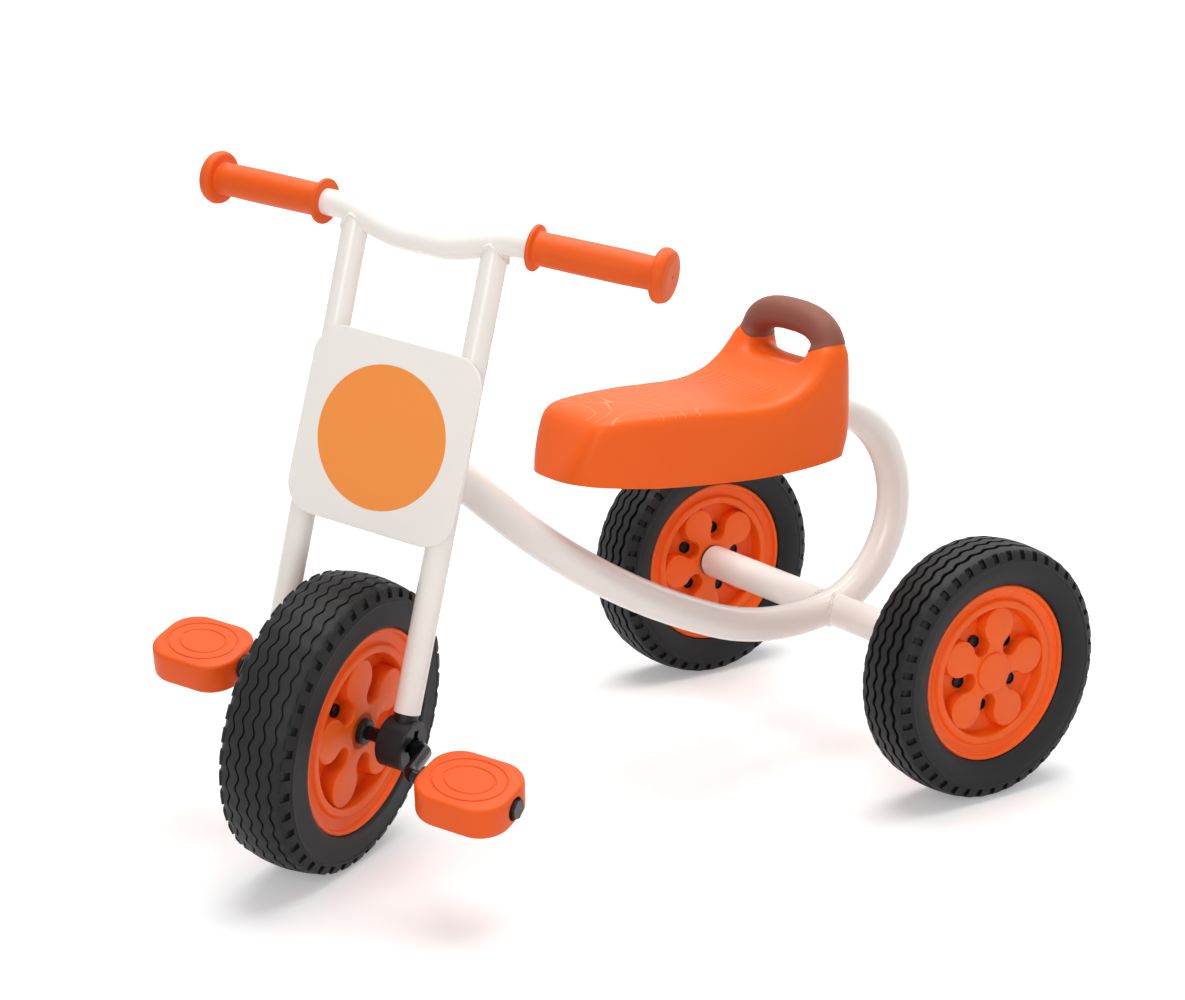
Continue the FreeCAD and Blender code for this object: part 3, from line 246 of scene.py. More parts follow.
# ---- Weld beads -------------------------------------------------------------------------------------
# Where two tubes meet, a narrow bead of weld follows the joint and is painted over with the tubes.
# It lies a little proud of both, in small overlapping ripples.
fork_pos = Vector(joints["front_wheel_spin"]["pos_m"])
fork_x = Vector(joints["front_wheel_spin"]["axis"]).normalized()
fork_z = Vector(joints["steering"]["axis"]).normalized()
fork_y = fork_z.cross(fork_x)
FORK_PLACE = Matrix.Translation(fork_pos) @ Matrix((fork_x, fork_y, fork_z)).transposed().to_4x4()
STANDING = Matrix.Identity(4)


def put(piece, place):
    """Moves a finished mesh to its place and leaves its object at the origin."""
    piece.data.transform(place)
    piece.data.update()


def weld_bead(name, place, branch_radius, main_radius, slant=0.0, thickness=0.0016, ripples=44):
    """Bead round a branch tube along Z that meets a main tube along X at the origin of its place."""
    bpy.ops.object.select_all(action="DESELECT")
    bpy.ops.mesh.primitive_torus_add(major_radius=branch_radius, minor_radius=thickness,
                                     major_segments=ripples * 4, minor_segments=8)
    bead = bpy.context.object
    bead.name = name
    for v in bead.data.vertices:
        around = math.atan2(v.co.y, v.co.x)
        out = math.hypot(v.co.x, v.co.y) - branch_radius
        ripple = 1 + 0.22 * math.cos(ripples * around)
        across = branch_radius * math.sin(around)
        rise = math.sqrt(max(main_radius ** 2 - across ** 2, 0.0) + 0.002 ** 2)
        r = branch_radius + out * ripple
        v.co = (r * math.cos(around), r * math.sin(around),
                v.co.z * ripple + rise + slant * branch_radius * math.cos(around))
    alone(bead)
    bpy.ops.object.shade_smooth()
    put(bead, place)
    return bead


tube_low, tube_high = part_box("axle_tube_left")
AXLE_Y = (tube_low.y + tube_high.y) / 2
AXLE_Z = (tube_low.z + tube_high.z) / 2
FRAME_TUBE_R = (tube_high.z - tube_low.z) / 2
FORK_TUBE_R = 0.0111
LEG_X = 0.0652
BAR_Z = 0.417
for side, word in ((1, "left"), (-1, "right")):
    outwards = Matrix.Rotation(side * math.pi / 2, 4, "Y") @ Matrix.Rotation(math.pi / 2, 4, "Z")
    climb = Matrix.Rotation(math.radians(-14), 4, "X")
    place = Matrix.Translation((0, AXLE_Y, AXLE_Z)) @ climb @ outwards
    bead = weld_bead("axle_weld_" + word, place, FRAME_TUBE_R, FRAME_TUBE_R, thickness=0.002)
    dress(bead, white_coat, "frame", "painted_tube")
    under = Matrix.Rotation(math.pi, 4, "X")
    bar_here = Matrix.Translation((side * LEG_X, 0, BAR_Z - 0.0034))
    bead = weld_bead("leg_weld_" + word, FORK_PLACE @ bar_here @ under, FORK_TUBE_R, FORK_TUBE_R,
                     slant=side * 0.20)
    dress(bead, white_coat, "fork", "painted_tube")

# ---- Front plate's disc -----------------------------------------------------------------------------
# The plate carries a plain printed disc, a film of ink a few hundredths of a millimetre thick.
# It is printed in the same orange as the plastic parts, a little paler.
PLATE_FACE_Y = -0.0136
DISC_R = 0.0594
DISC_FILM = 0.0003
DISC_X = 0.002
DISC_Z = 0.241
disc_ink = finish("orange_ink", colour(250, 152, 70), colour(248, 147, 66), 0.42, 4, 400, 0.00001)
bpy.ops.object.select_all(action="DESELECT")
bpy.ops.mesh.primitive_cylinder_add(vertices=128, radius=DISC_R, depth=DISC_FILM, end_fill_type="NGON",
                                    location=(0, 0, 0), rotation=(math.pi / 2, 0, 0))
disc = bpy.context.object
disc.name = "front_plate_disc"
bpy.ops.object.transform_apply(location=False, rotation=True, scale=False)
put(disc, FORK_PLACE @ Matrix.Translation((DISC_X, PLATE_FACE_Y, DISC_Z)))
dress(disc, disc_ink, "fork", "orange_plastic")


# ---- Turned pieces: handlebar grips -----------------------------------------------------------------
# Each grip is one soft moulding pushed onto the bar: a thin flange, a slightly barrelled sleeve and a
# mushroom end that keeps the bar's end away from the rider.
def soft_outline(corners, steps=4):
    """Outline in (along, radius) whose corners, given as (along, radius, rounding), are arcs."""
    points = []
    last = len(corners) - 1
    for i, (x, r, rounding) in enumerate(corners):
        here = Vector((x, r))
        if rounding == 0 or i in (0, last):
            points.append((x, r))
            continue
        before = (Vector(corners[i - 1][:2]) - here).normalized()
        after = (Vector(corners[i + 1][:2]) - here).normalized()
        half = before.angle(after) / 2
        reach = rounding / math.tan(half)
        first = here + before * reach
        final = here + after * reach
        middle = here + (before + after).normalized() * rounding / math.sin(half)
        a = first - middle
        b = final - middle
        sweep = a.angle(b)
        for k in range(steps + 1):
            t = k / steps
            arm = (a * math.sin((1 - t) * sweep) + b * math.sin(t * sweep)) / math.sin(sweep)
            points.append(tuple(middle + arm))
    return points


def turned_piece(name, outline, sides=96, closed=False):
    """Round piece about X, drawn out ring by ring along its outline; a radius of 0 is a pole."""
    bpy.ops.object.select_all(action="DESELECT")
    x, r = outline[0]
    bpy.ops.mesh.primitive_circle_add(vertices=sides, radius=max(r, 0.00001), location=(0, 0, 0),
                                      rotation=(0, math.pi / 2, 0))
    piece = bpy.context.object
    piece.name = name
    bpy.ops.object.transform_apply(location=False, rotation=True, scale=False)
    bpy.ops.object.mode_set(mode="EDIT")
    bpy.ops.mesh.select_all(action="SELECT")
    bpy.ops.transform.translate(value=(x, 0, 0))
    rings = outline[1:] + outline[:1] if closed else outline[1:]
    for x1, r1 in rings:
        bpy.ops.mesh.extrude_edges_move(TRANSFORM_OT_translate={"value": (x1 - x, 0, 0)})
        grow = max(r1, 0.00001) / max(r, 0.00001)
        bpy.ops.transform.resize(value=(1, grow, grow), center_override=(x1, 0, 0))
        x, r = x1, r1
    bpy.ops.mesh.select_all(action="SELECT")
    bpy.ops.mesh.remove_doubles(threshold=0.00002)
    bpy.ops.mesh.normals_make_consistent(inside=False)
    bpy.ops.object.mode_set(mode="OBJECT")
    bpy.ops.object.shade_smooth_by_angle(angle=math.radians(32))
    return piece


orange_grip = finish("orange_grip_rubber", colour(234, 92, 14), colour(228, 86, 11), 0.50, 14, 900, 0.00004)
GRIP_IN = 0.097
GRIP_OUT = 0.216
GRIP_R = 0.0137
FLANGE_R = 0.019
KNOB_R = 0.0225
grip_outline = soft_outline([
    (GRIP_IN, FORK_TUBE_R, 0), (GRIP_IN, FLANGE_R, 0.0012), (GRIP_IN + 0.0034, FLANGE_R, 0.0012),
    (GRIP_IN + 0.0046, GRIP_R, 0.0016), (GRIP_IN + 0.030, GRIP_R + 0.0002, 0),
    (GRIP_IN + 0.075, GRIP_R + 0.0004, 0),
    (GRIP_OUT - 0.0125, GRIP_R - 0.0002, 0.0014), (GRIP_OUT - 0.0125, KNOB_R - 0.001, 0.0030),
    (GRIP_OUT - 0.0075, KNOB_R, 0.0030), (GRIP_OUT - 0.0015, KNOB_R - 0.002, 0.0042),
    (GRIP_OUT, GRIP_R - 0.001, 0.002), (GRIP_OUT, 0.0011, 0.0003), (GRIP_OUT - 0.003, 0.0009, 0),
    (GRIP_OUT - 0.003, 0, 0)])
BAR_BEND = Matrix.Translation((0.076, 0, BAR_Z)) @ Matrix.Rotation(math.radians(4), 4, "Z")
BAR_BEND = BAR_BEND @ Matrix.Translation((-0.076, 0, 0))
MIRROR = Matrix.Scale(-1, 4, (1, 0, 0))


def face_out(piece):
    """Points a mirrored mesh's faces outwards again."""
    alone(piece)
    bpy.ops.object.mode_set(mode="EDIT")
    bpy.ops.mesh.select_all(action="SELECT")
    bpy.ops.mesh.normals_make_consistent(inside=False)
    bpy.ops.object.mode_set(mode="OBJECT")


grip = turned_piece("grip_left_moulding", grip_outline, sides=96)
alone(grip)
bpy.ops.object.duplicate()
other_grip = bpy.context.object
other_grip.name = "grip_right_moulding"
put(grip, FORK_PLACE @ BAR_BEND)
put(other_grip, FORK_PLACE @ MIRROR @ BAR_BEND)
face_out(other_grip)
dress(grip, orange_grip, "fork", slot_of["grip_left"], "grip_left")
dress(other_grip, orange_grip, "fork", slot_of["grip_right"], "grip_right")

# ---- Fork ends, crank and steering fittings ---------------------------------------------------------
# The fork ends are black glass-filled mouldings with a keyhole recess round the crank, pushed up into
# the legs. The crank is one bent steel rod in glossy black; pins, nuts and screws are zinc plated.
black_plastic = finish("black_plastic", colour(26, 27, 29), colour(20, 21, 23), 0.38, 20, 700, 0.00005)
black_rod = finish("black_rod_paint", colour(18, 19, 21), colour(12, 13, 15), 0.16, 12, 300, 0.00002)
zinc = finish("zinc_plate", colour(168, 170, 172), colour(140, 143, 147), 0.34, 60, 900, 0.00003)
zinc.node_tree.nodes["Principled BSDF"].inputs["Metallic"].default_value = 1.0
dark_steel = finish("blackened_steel", colour(70, 72, 75), colour(48, 50, 53), 0.36, 60, 900, 0.00003)
dark_steel.node_tree.nodes["Principled BSDF"].inputs["Metallic"].default_value = 0.9
for node in ("fork_end_left", "fork_end_right", "crank_bush_left", "crank_bush_right", "hub_collar_left",
             "hub_collar_right", "head_bush_upper", "head_bush_lower", "axle_end_bush_left",
             "axle_end_bush_right", "main_tube_plug", "rear_wheel_bushes_left", "rear_wheel_bushes_right",
             "pedal_bush_inner_left", "pedal_bush_outer_left", "pedal_bush_inner_right",
             "pedal_bush_outer_right"):
    dress(fair_copy(node), black_plastic, body_of[node], slot_of[node], node)
dress(fair_copy("crank_rod", 60), black_rod, "front_wheel", slot_of["crank_rod"], "crank_rod")
for node in ("steering_pin", "steering_nut", "front_plate_studs", "rear_axle_shaft", "rear_axle_washers",
             "rear_axle_nuts", "seat_screws", "fork_end_screws"):
    dress(fair_copy(node), zinc, body_of[node], slot_of[node], node)
dress(fair_copy("pedal_nuts"), dark_steel, "front_wheel", slot_of["pedal_nuts"], "pedal_nuts")

# ---- Pedals -----------------------------------------------------------------------------------------
# Thick orange blocks with rounded ends, moulded over their bushes. Two oval grooves on each tread keep
# the shoe from slipping, and the nut on the crank sits in a round recess in the outer end.
orange_plastic = finish("orange_plastic", colour(238, 91, 10), colour(232, 85, 8), 0.46, 9, 800, 0.00004)
PEDAL_X = 0.1175
PEDAL_LONG = 0.082
PEDAL_WIDE = 0.070
PEDAL_HIGH = 0.028
PEDAL_FLOAT = 0.006
PEDAL_TILT = 26
CRANK_THROW = 0.050
CRANK_REST = 11


def choose_faces(piece, test):
    """In edit mode, selects the faces whose middle and normal pass the test."""
    bpy.ops.object.mode_set(mode="OBJECT")
    bpy.context.tool_settings.mesh_select_mode = (False, False, True)
    for p in piece.data.polygons:
        p.select = bool(test(p.center, p.normal))
    for e in piece.data.edges:
        e.select = False
    for v in piece.data.vertices:
        v.select = False
    bpy.ops.object.mode_set(mode="EDIT")


def choose_edges(piece, test):
    """In edit mode, selects the edges whose two ends pass the test."""
    bpy.ops.object.mode_set(mode="OBJECT")
    bpy.context.tool_settings.mesh_select_mode = (False, True, False)
    spots = [v.co for v in piece.data.vertices]
    for v in piece.data.vertices:
        v.select = False
    for p in piece.data.polygons:
        p.select = False
    for e in piece.data.edges:
        e.select = bool(test(spots[e.vertices[0]], spots[e.vertices[1]]))
    bpy.ops.object.mode_set(mode="EDIT")


def cut_away(piece, cutter, operation="DIFFERENCE"):
    """Takes the cutter out of the piece, or keeps or joins what they share, and removes the cutter."""
    alone(piece)
    change = piece.modifiers.new("cut", "BOOLEAN")
    change.operation = operation
    change.solver = "EXACT"
    change.object = cutter
    bpy.ops.object.modifier_apply(modifier=change.name)
    bpy.data.objects.remove(cutter)


def round_bar(radius, x0, x1, sides=48):
    """Plain round bar along X, used as a cutter."""
    bpy.ops.object.select_all(action="DESELECT")
    bpy.ops.mesh.primitive_cylinder_add(vertices=sides, radius=radius, depth=x1 - x0,
                                        location=((x0 + x1) / 2, 0, 0), rotation=(0, math.pi / 2, 0))
    bpy.ops.object.transform_apply(location=True, rotation=True, scale=False)
    return bpy.context.object


def oval_groove(block, way, half_long, half_wide):
    """Cuts one round-bottomed oval groove into the upper tread, or with way -1 into the lower one."""
    bpy.ops.object.select_all(action="DESELECT")
    bpy.ops.mesh.primitive_torus_add(major_radius=half_wide, minor_radius=0.0010, major_segments=72,
                                     minor_segments=8)
    ring = bpy.context.object
    ring.scale = (half_long / half_wide, 1, 1)
    ring.location = (PEDAL_X + PEDAL_LONG / 2, 0, way * PEDAL_HIGH / 2)
    bpy.ops.object.transform_apply(location=True, rotation=False, scale=True)
    cut_away(block, ring)


def pedal_block(name):
    """One block about its spindle on X, with both treads grooved and the ends bored."""
    bpy.ops.object.select_all(action="DESELECT")
    bpy.ops.mesh.primitive_cube_add(size=1, location=(PEDAL_X + PEDAL_LONG / 2, 0, 0))
    block = bpy.context.object
    block.name = name
    block.scale = (PEDAL_LONG, PEDAL_WIDE, PEDAL_HIGH)
    bpy.ops.object.transform_apply(location=True, rotation=False, scale=True)
    choose_edges(block, lambda a, b: abs(a.z - b.z) > 0.01)
    bpy.ops.mesh.bevel(offset=0.026, segments=14, affect="EDGES")
    choose_edges(block, lambda a, b: abs(a.z - b.z) < 0.0001)
    bpy.ops.mesh.bevel(offset=0.0036, segments=4, affect="EDGES")
    bpy.ops.object.mode_set(mode="OBJECT")
    for way in (1, -1):
        oval_groove(block, way, 0.0315, 0.0262)
        oval_groove(block, way, 0.0215, 0.0168)
    face_out(block)
    outer = PEDAL_X + PEDAL_LONG
    cut_away(block, round_bar(0.0086, PEDAL_X - 0.01, outer + 0.01))
    cut_away(block, round_bar(0.0100, outer - 0.008, outer + 0.01))
    alone(block)
    bpy.ops.object.shade_smooth_by_angle(angle=math.radians(32))
    return block


for side, word in ((1, "left"), (-1, "right")):
    block = pedal_block("pedal_moulding_" + word)
    arm = math.radians(CRANK_REST)
    at_arm = Matrix.Translation((0, -side * CRANK_THROW * math.cos(arm),
                                 -side * CRANK_THROW * math.sin(arm)))
    tilted = at_arm @ Matrix.Rotation(math.radians(PEDAL_TILT), 4, "X")
    if side < 0:
        tilted = tilted @ MIRROR @ Matrix.Translation((PEDAL_FLOAT, 0, 0))
    put(block, FORK_PLACE @ tilted)
    if side < 0:
        face_out(block)
    node = "pedal_block_" + word
    dress(block, orange_plastic, "pedal_" + word, slot_of[node], node)

# ---- Rims -------------------------------------------------------------------------------------------
# Each wheel is two orange mouldings bolted back to back: a rolled flange that holds the tyre, a sloping
# band, a raised ring, and a deep well from which five petals stand up round the hub.
PETALS = 5
PETAL_R = 0.043
BULB_R = 0.0171
NOTCH_R = 0.0088
LEFT_WHEEL_TURN = -8
RIGHT_WHEEL_TURN = 25
FRONT_WHEEL_TURN = 23


def petal_outline(scale, bulb_steps=14, notch_steps=10):
    """Flower outline in (y, z): bulb arcs joined by the hollow arcs between them."""
    spread = math.pi / PETALS
    between = BULB_R + NOTCH_R
    notch_at = PETAL_R * math.cos(spread) - math.sqrt(between ** 2 - (PETAL_R * math.sin(spread)) ** 2)
    points = []
    for i in range(PETALS):
        lead = 2 * spread * i
        bulb = Vector((-math.sin(lead), math.cos(lead))) * PETAL_R
        hollow = Vector((-math.sin(lead + spread), math.cos(lead + spread))) * notch_at
        hollow_before = Vector((-math.sin(lead - spread), math.cos(lead - spread))) * notch_at
        to_before = hollow_before - bulb
        to_after = hollow - bulb
        a0 = math.atan2(to_before.y, to_before.x)
        a1 = math.atan2(to_after.y, to_after.x)
        while a1 < a0:
            a1 += 2 * math.pi
        for k in range(bulb_steps):
            a = a0 + (a1 - a0) * k / bulb_steps
            points.append(bulb + BULB_R * Vector((math.cos(a), math.sin(a))))
        next_bulb = Vector((-math.sin(lead + 2 * spread), math.cos(lead + 2 * spread))) * PETAL_R
        b0 = math.atan2(bulb.y - hollow.y, bulb.x - hollow.x)
        b1 = math.atan2(next_bulb.y - hollow.y, next_bulb.x - hollow.x)
        while b1 > b0:
            b1 -= 2 * math.pi
        for k in range(notch_steps):
            b = b0 + (b1 - b0) * k / notch_steps
            points.append(hollow + NOTCH_R * Vector((math.cos(b), math.sin(b))))
    return [(p.x * scale, p.y * scale) for p in points]


def flower(x0, x1, scale):
    """The five petals as one block from x0 to x1, with draft on its walls and a soft front edge."""
    outline = petal_outline(scale)
    bpy.ops.object.select_all(action="DESELECT")
    bpy.ops.mesh.primitive_circle_add(vertices=len(outline), radius=0.03)
    petals = bpy.context.object
    for v, (y, z) in zip(petals.data.vertices, outline):
        v.co = (x0, y, z)
    bpy.ops.object.mode_set(mode="EDIT")
    bpy.ops.mesh.select_all(action="SELECT")
    bpy.ops.mesh.edge_face_add()
    bpy.ops.mesh.extrude_region_move(TRANSFORM_OT_translate={"value": (x1 - x0, 0, 0)})
    bpy.ops.transform.resize(value=(1, 0.985, 0.985), center_override=(x1, 0, 0))
    bpy.ops.mesh.bevel(offset=0.0013, segments=3, affect="EDGES")
    bpy.ops.mesh.select_all(action="SELECT")
    bpy.ops.mesh.normals_make_consistent(inside=False)
    bpy.ops.object.mode_set(mode="OBJECT")
    return petals


def join(name, first, *others):
    """Joins pieces into the first, under a new name."""
    alone(first)
    for piece in others:
        piece.select_set(True)
    bpy.ops.object.join()
    first.name = name
    return first


def rim_half(name, radius, half, web_depth, hub_face, bore, ring_r, petal_scale):
    """One moulded half about X, from the wheel's middle plane out to its face."""
    barrel = radius - 0.006
    web = half - web_depth + 0.003
    well = ring_r - 0.0035
    corners = [
        (0, bore, 0), (0, barrel, 0), (half - 0.0036, barrel, 0.0003), (half - 0.0036, radius, 0.0004),
        (half, radius, 0.0017), (half, radius - 0.0036, 0.0014), (half - 0.0036, radius - 0.0046, 0.0010),
        (half - 0.0068, ring_r + 0.0056, 0.0022), (half - 0.0026, ring_r + 0.0034, 0.0016),
        (half - 0.0024, well + 0.0006, 0.0018), (web, well - 0.0012, 0.0035), (web, 0.0172, 0.0014),
        (hub_face, 0.0168, 0.0008), (hub_face, bore, 0)]
    shell = turned_piece(name, soft_outline(corners), sides=120, closed=True)
    petals = flower(web - 0.002, half - 0.004, petal_scale)
    rim = join(name, shell, petals)
    alone(rim)
    bpy.ops.object.shade_smooth_by_angle(angle=math.radians(40))
    return rim


def rear_place(side):
    """Middle of a rear wheel; the piece is made for the left side and mirrored for the right."""
    at = Vector(joints["rear_wheel_left_spin" if side > 0 else "rear_wheel_right_spin"]["pos_m"])
    turn = Matrix.Rotation(math.radians(LEFT_WHEEL_TURN if side > 0 else RIGHT_WHEEL_TURN), 4, "X")
    return Matrix.Translation(at) @ turn @ (STANDING if side > 0 else MIRROR)


orange_rim = finish("orange_rim_plastic", colour(250, 100, 20), colour(244, 94, 16), 0.44, 10, 700, 0.00005)
REAR_R = 0.080
REAR_HALF = 0.0224
REAR_WEB = 0.019
REAR_HUB_FACE = 0.0184
REAR_BORE = 0.0101
RING_R = 0.062
CAP_R = 0.018
CAP_T = 0.0024
FRONT_R = 0.0888
FRONT_HALF = 0.032
FRONT_WEB = 0.022
FRONT_HUB_FACE = 0.028
FRONT_BORE = 0.00605
FRONT_SCALE = (FRONT_R - 0.006) / (REAR_R - 0.006)
FRONT_PLACE = FORK_PLACE @ Matrix.Rotation(math.radians(FRONT_WHEEL_TURN), 4, "X")

for side, word in ((1, "left"), (-1, "right")):
    for layer, way in (("outer", 1), ("inner", -1)):
        node = "rear_rim_%s_%s" % (layer, word)
        rim = rim_half(node + "_moulding", REAR_R, REAR_HALF, REAR_WEB, REAR_HUB_FACE, REAR_BORE,
                       RING_R, 1.0)
        put(rim, rear_place(side) @ (STANDING if way > 0 else MIRROR))
        face_out(rim)
        dress(rim, orange_rim, "rear_wheel_" + word, slot_of[node], node)
    node = "rear_hub_cap_" + word
    cap = turned_piece(node + "_moulding", soft_outline([
        (REAR_HUB_FACE, 0.0138, 0), (REAR_HUB_FACE, CAP_R, 0.0002), (REAR_HUB_FACE + CAP_T, CAP_R, 0.0011),
        (REAR_HUB_FACE + CAP_T, 0, 0)]), sides=72)
    put(cap, rear_place(side))
    face_out(cap)
    dress(cap, orange_rim, "rear_wheel_" + word, slot_of[node], node)
for way, word in ((1, "left"), (-1, "right")):
    node = "front_rim_" + word
    rim = rim_half(node + "_moulding", FRONT_R, FRONT_HALF, FRONT_WEB, FRONT_HUB_FACE, FRONT_BORE,
                   RING_R * FRONT_SCALE, FRONT_SCALE)
    put(rim, FRONT_PLACE @ (STANDING if way > 0 else MIRROR))
    face_out(rim)
    dress(rim, orange_rim, "front_wheel", slot_of[node], node)

# ---- Rim screws -------------------------------------------------------------------------------------
# Five blackened screws and nuts hold each pair of rim halves. Each head sits in a dark round well between
# two petals, with a small round recess in its top.
SCREW_R = 0.032


def rim_screws(name, face):
    """Five screws through both halves; each end is a pan head in a black cup, painted shade that stands for the
    dark inside its hole.
    """
    ends = []
    for i in range(PETALS):
        for way in (1, -1):
            # The black cup round each head is painted shade: it stands for the shadow inside the screw's hole.
            seat = turned_piece("seat", soft_outline([
                (face - 0.001, 0.0058, 0), (face + 0.0030, 0.0058, 0.0006), (face + 0.0030, 0.0048, 0.0004),
                (face + 0.0006, 0.0046, 0), (face + 0.0006, 0, 0)]), sides=24)
            head = turned_piece("head", soft_outline([
                (face, 0.0036, 0), (face + 0.0018, 0.0036, 0.0008), (face + 0.0024, 0.0014, 0.0003),
                (face + 0.0012, 0.0012, 0), (face + 0.0012, 0, 0)]), sides=20)
            shank = round_bar(0.002, -0.002, face, sides=12)
            end = join("end", seat, head, shank)
            angle = math.radians(360 / PETALS * (i + 0.5))
            put(end, Matrix.Rotation(angle, 4, "X") @ (STANDING if way > 0 else MIRROR)
                @ Matrix.Translation((0, 0, SCREW_R)))
            face_out(end)
            ends.append(end)
    return join(name, *ends)


for side, word in ((1, "left"), (-1, "right")):
    node = "rear_rim_screws_" + word
    screws = rim_screws(node + "_set", REAR_HALF - REAR_WEB + 0.003)
    put(screws, rear_place(side))
    face_out(screws)
    dress(screws, black_plastic, "rear_wheel_" + word, slot_of[node], node)
screws = rim_screws("front_rim_screws_set", FRONT_HALF - FRONT_WEB + 0.003)
put(screws, FRONT_PLACE)
dress(screws, black_plastic, "front_wheel", slot_of["front_rim_screws"], "front_rim_screws")

# ---- Tyres ------------------------------------------------------------------------------------------
# Solid-walled black mouldings: ribs parted by wavy grooves run round the tread, square blocks stand along
# both shoulders, and the plain walls carry one fine ring before they meet the rim.
tyre_rubber = finish("tyre_rubber", colour(17, 18, 20), colour(11, 12, 14), 0.54, 16, 500, 0.00006)
WAVE = (0.0, 0.75, 1.0, 0.75, 0.0, -0.75, -1.0, -0.75)


def choose_marked(piece, mark):
    """In edit mode, selects the faces that carry this mark."""
    marks = piece.data.attributes["part"].data
    wanted = {p.index for p in piece.data.polygons if marks[p.index].value == mark}
    bpy.ops.object.mode_set(mode="OBJECT")
    bpy.context.tool_settings.mesh_select_mode = (False, False, True)
    for v in piece.data.vertices:
        v.select = False
    for e in piece.data.edges:
        e.select = False
    for p in piece.data.polygons:
        p.select = p.index in wanted
    bpy.ops.object.mode_set(mode="EDIT")


def tyre(name, radius, half, rim_r, rim_half_width, pitches, grooves, groove, swing, crowning):
    """Grid laid round the axle: its columns follow the section, and its rows the wave of the tread."""
    crown = half * 0.80
    wall = radius - rim_r
    flare = half - rim_half_width - 0.0020
    side = [(rim_half_width - 0.0042, rim_r - 0.0055), (rim_half_width - 0.0042, rim_r + 0.0001),
            (rim_half_width + 0.0002, rim_r + 0.0002), (rim_half_width + 0.0020, rim_r + 0.0014)]
    side += [(rim_half_width + 0.0020 + flare * math.sin(k / 6 * math.pi / 2) ** 0.8,
              rim_r + 0.0014 + 0.50 * wall * k / 6) for k in range(1, 6)]
    side += [(half, rim_r + 0.53 * wall), (half - 0.0001, rim_r + 0.600 * wall),
             (half + 0.0004, rim_r + 0.612 * wall), (half + 0.0004, rim_r + 0.632 * wall),
             (half - 0.0004, rim_r + 0.644 * wall), (half - 0.0008, rim_r + 0.69 * wall)]
    notch_from = len(side) - 1
    side += [(half - 0.0014, rim_r + 0.76 * wall), (half - 0.0026, rim_r + 0.83 * wall),
             (half - 0.0046, rim_r + 0.90 * wall), (crown + 0.0006, radius - crowning - 0.0008)]
    notch_to = len(side) - 1
    edges = []
    for g in grooves:
        edges += [(g - groove[0] / 2, "groove"), (g + groove[0] / 2, "")]
    top = [(-crown + 0.0012, "")] + edges + [(crown - 0.0012, "")]
    tread = []
    for (x0, kind), (x1, _) in zip(top, top[1:]):
        tread.append((x0, kind))
        if kind == "":
            tread += [(x0 + 0.0007, ""), ((x0 + x1) / 2, ""), (x1 - 0.0007, "")]
    tread.append(top[-1])
    section = [(-x, r) for x, r in side]
    marks = [2 if notch_from <= k < notch_to else 0 for k in range(len(side))]
    for x, kind in tread:
        section.append((x, radius - crowning * (x / crown) ** 2))
        marks.append(1 if kind == "groove" else 0)
    section += list(reversed(side))
    marks += [3 if notch_from < k <= notch_to else 0 for k in reversed(range(len(side)))]
    section.append(section[0])
    columns = len(section)
    rows = pitches * len(WAVE)
    bpy.ops.object.select_all(action="DESELECT")
    bpy.ops.mesh.primitive_grid_add(x_subdivisions=columns - 1, y_subdivisions=rows, size=1)
    ring = bpy.context.object
    ring.name = name
    for n, v in enumerate(ring.data.vertices):
        row, column = divmod(n, columns)
        x, r = section[column]
        turn = 2 * math.pi * row / rows
        share = max(0.0, 1 - (abs(x) / (crown + 0.0014)) ** 6) if r > radius - crowning - 0.0004 else 0.0
        v.co = (x + swing * WAVE[row % len(WAVE)] * share, -r * math.sin(turn), r * math.cos(turn))
    part = ring.data.attributes.new("part", "INT", "FACE")
    for n, face in enumerate(part.data):
        row, column = divmod(n, columns - 1)
        beat = row % len(WAVE)
        if marks[column] == 1:
            face.value = 1
        if (marks[column] == 2 and beat in (0, 1, 2)) or (marks[column] == 3 and beat in (4, 5, 6)):
            face.value = 2
    alone(ring)
    bpy.ops.object.mode_set(mode="EDIT")
    bpy.ops.mesh.select_all(action="SELECT")
    bpy.ops.mesh.remove_doubles(threshold=0.00001)
    bpy.ops.mesh.normals_make_consistent(inside=False)
    bpy.ops.object.mode_set(mode="OBJECT")
    for mark, depth in ((1, groove[1]), (2, 0.0034)):
        choose_marked(ring, mark)
        bpy.ops.mesh.extrude_region_shrink_fatten(TRANSFORM_OT_shrink_fatten={"value": -depth})
        bpy.ops.object.mode_set(mode="OBJECT")
    soften = ring.modifiers.new("soft edges", "BEVEL")
    soften.width = 0.00032
    soften.segments = 1
    soften.limit_method = "ANGLE"
    soften.angle_limit = math.radians(50)
    alone(ring)
    bpy.ops.object.modifier_apply(modifier=soften.name)
    bpy.ops.object.shade_smooth_by_angle(angle=math.radians(38))
    ring.data.attributes.remove(ring.data.attributes["part"])
    return ring


REAR_TYRE_R = 0.116
REAR_TYRE_HALF = 0.03025
REAR_PITCHES = 44
FRONT_TYRE_R = 0.1259
FRONT_TYRE_HALF = 0.0335
FRONT_PITCHES = 40
rear_grooves = (-0.0165, -0.0055, 0.0055, 0.0165)
front_grooves = (-0.020, -0.010, 0.0, 0.010, 0.020)
rear_ring = tyre("rear_tyre_left_moulding", REAR_TYRE_R, REAR_TYRE_HALF, REAR_R, REAR_HALF, REAR_PITCHES,
                 rear_grooves, (0.0034, 0.0040), 0.0014, 0.0026)
alone(rear_ring)
bpy.ops.object.duplicate()
other_ring = bpy.context.object
other_ring.name = "rear_tyre_right_moulding"
for ring, side, word in ((rear_ring, 1, "left"), (other_ring, -1, "right")):
    put(ring, rear_place(side))
    face_out(ring)
    dress(ring, tyre_rubber, "rear_wheel_" + word, "tyre", "rear_tyre_" + word)
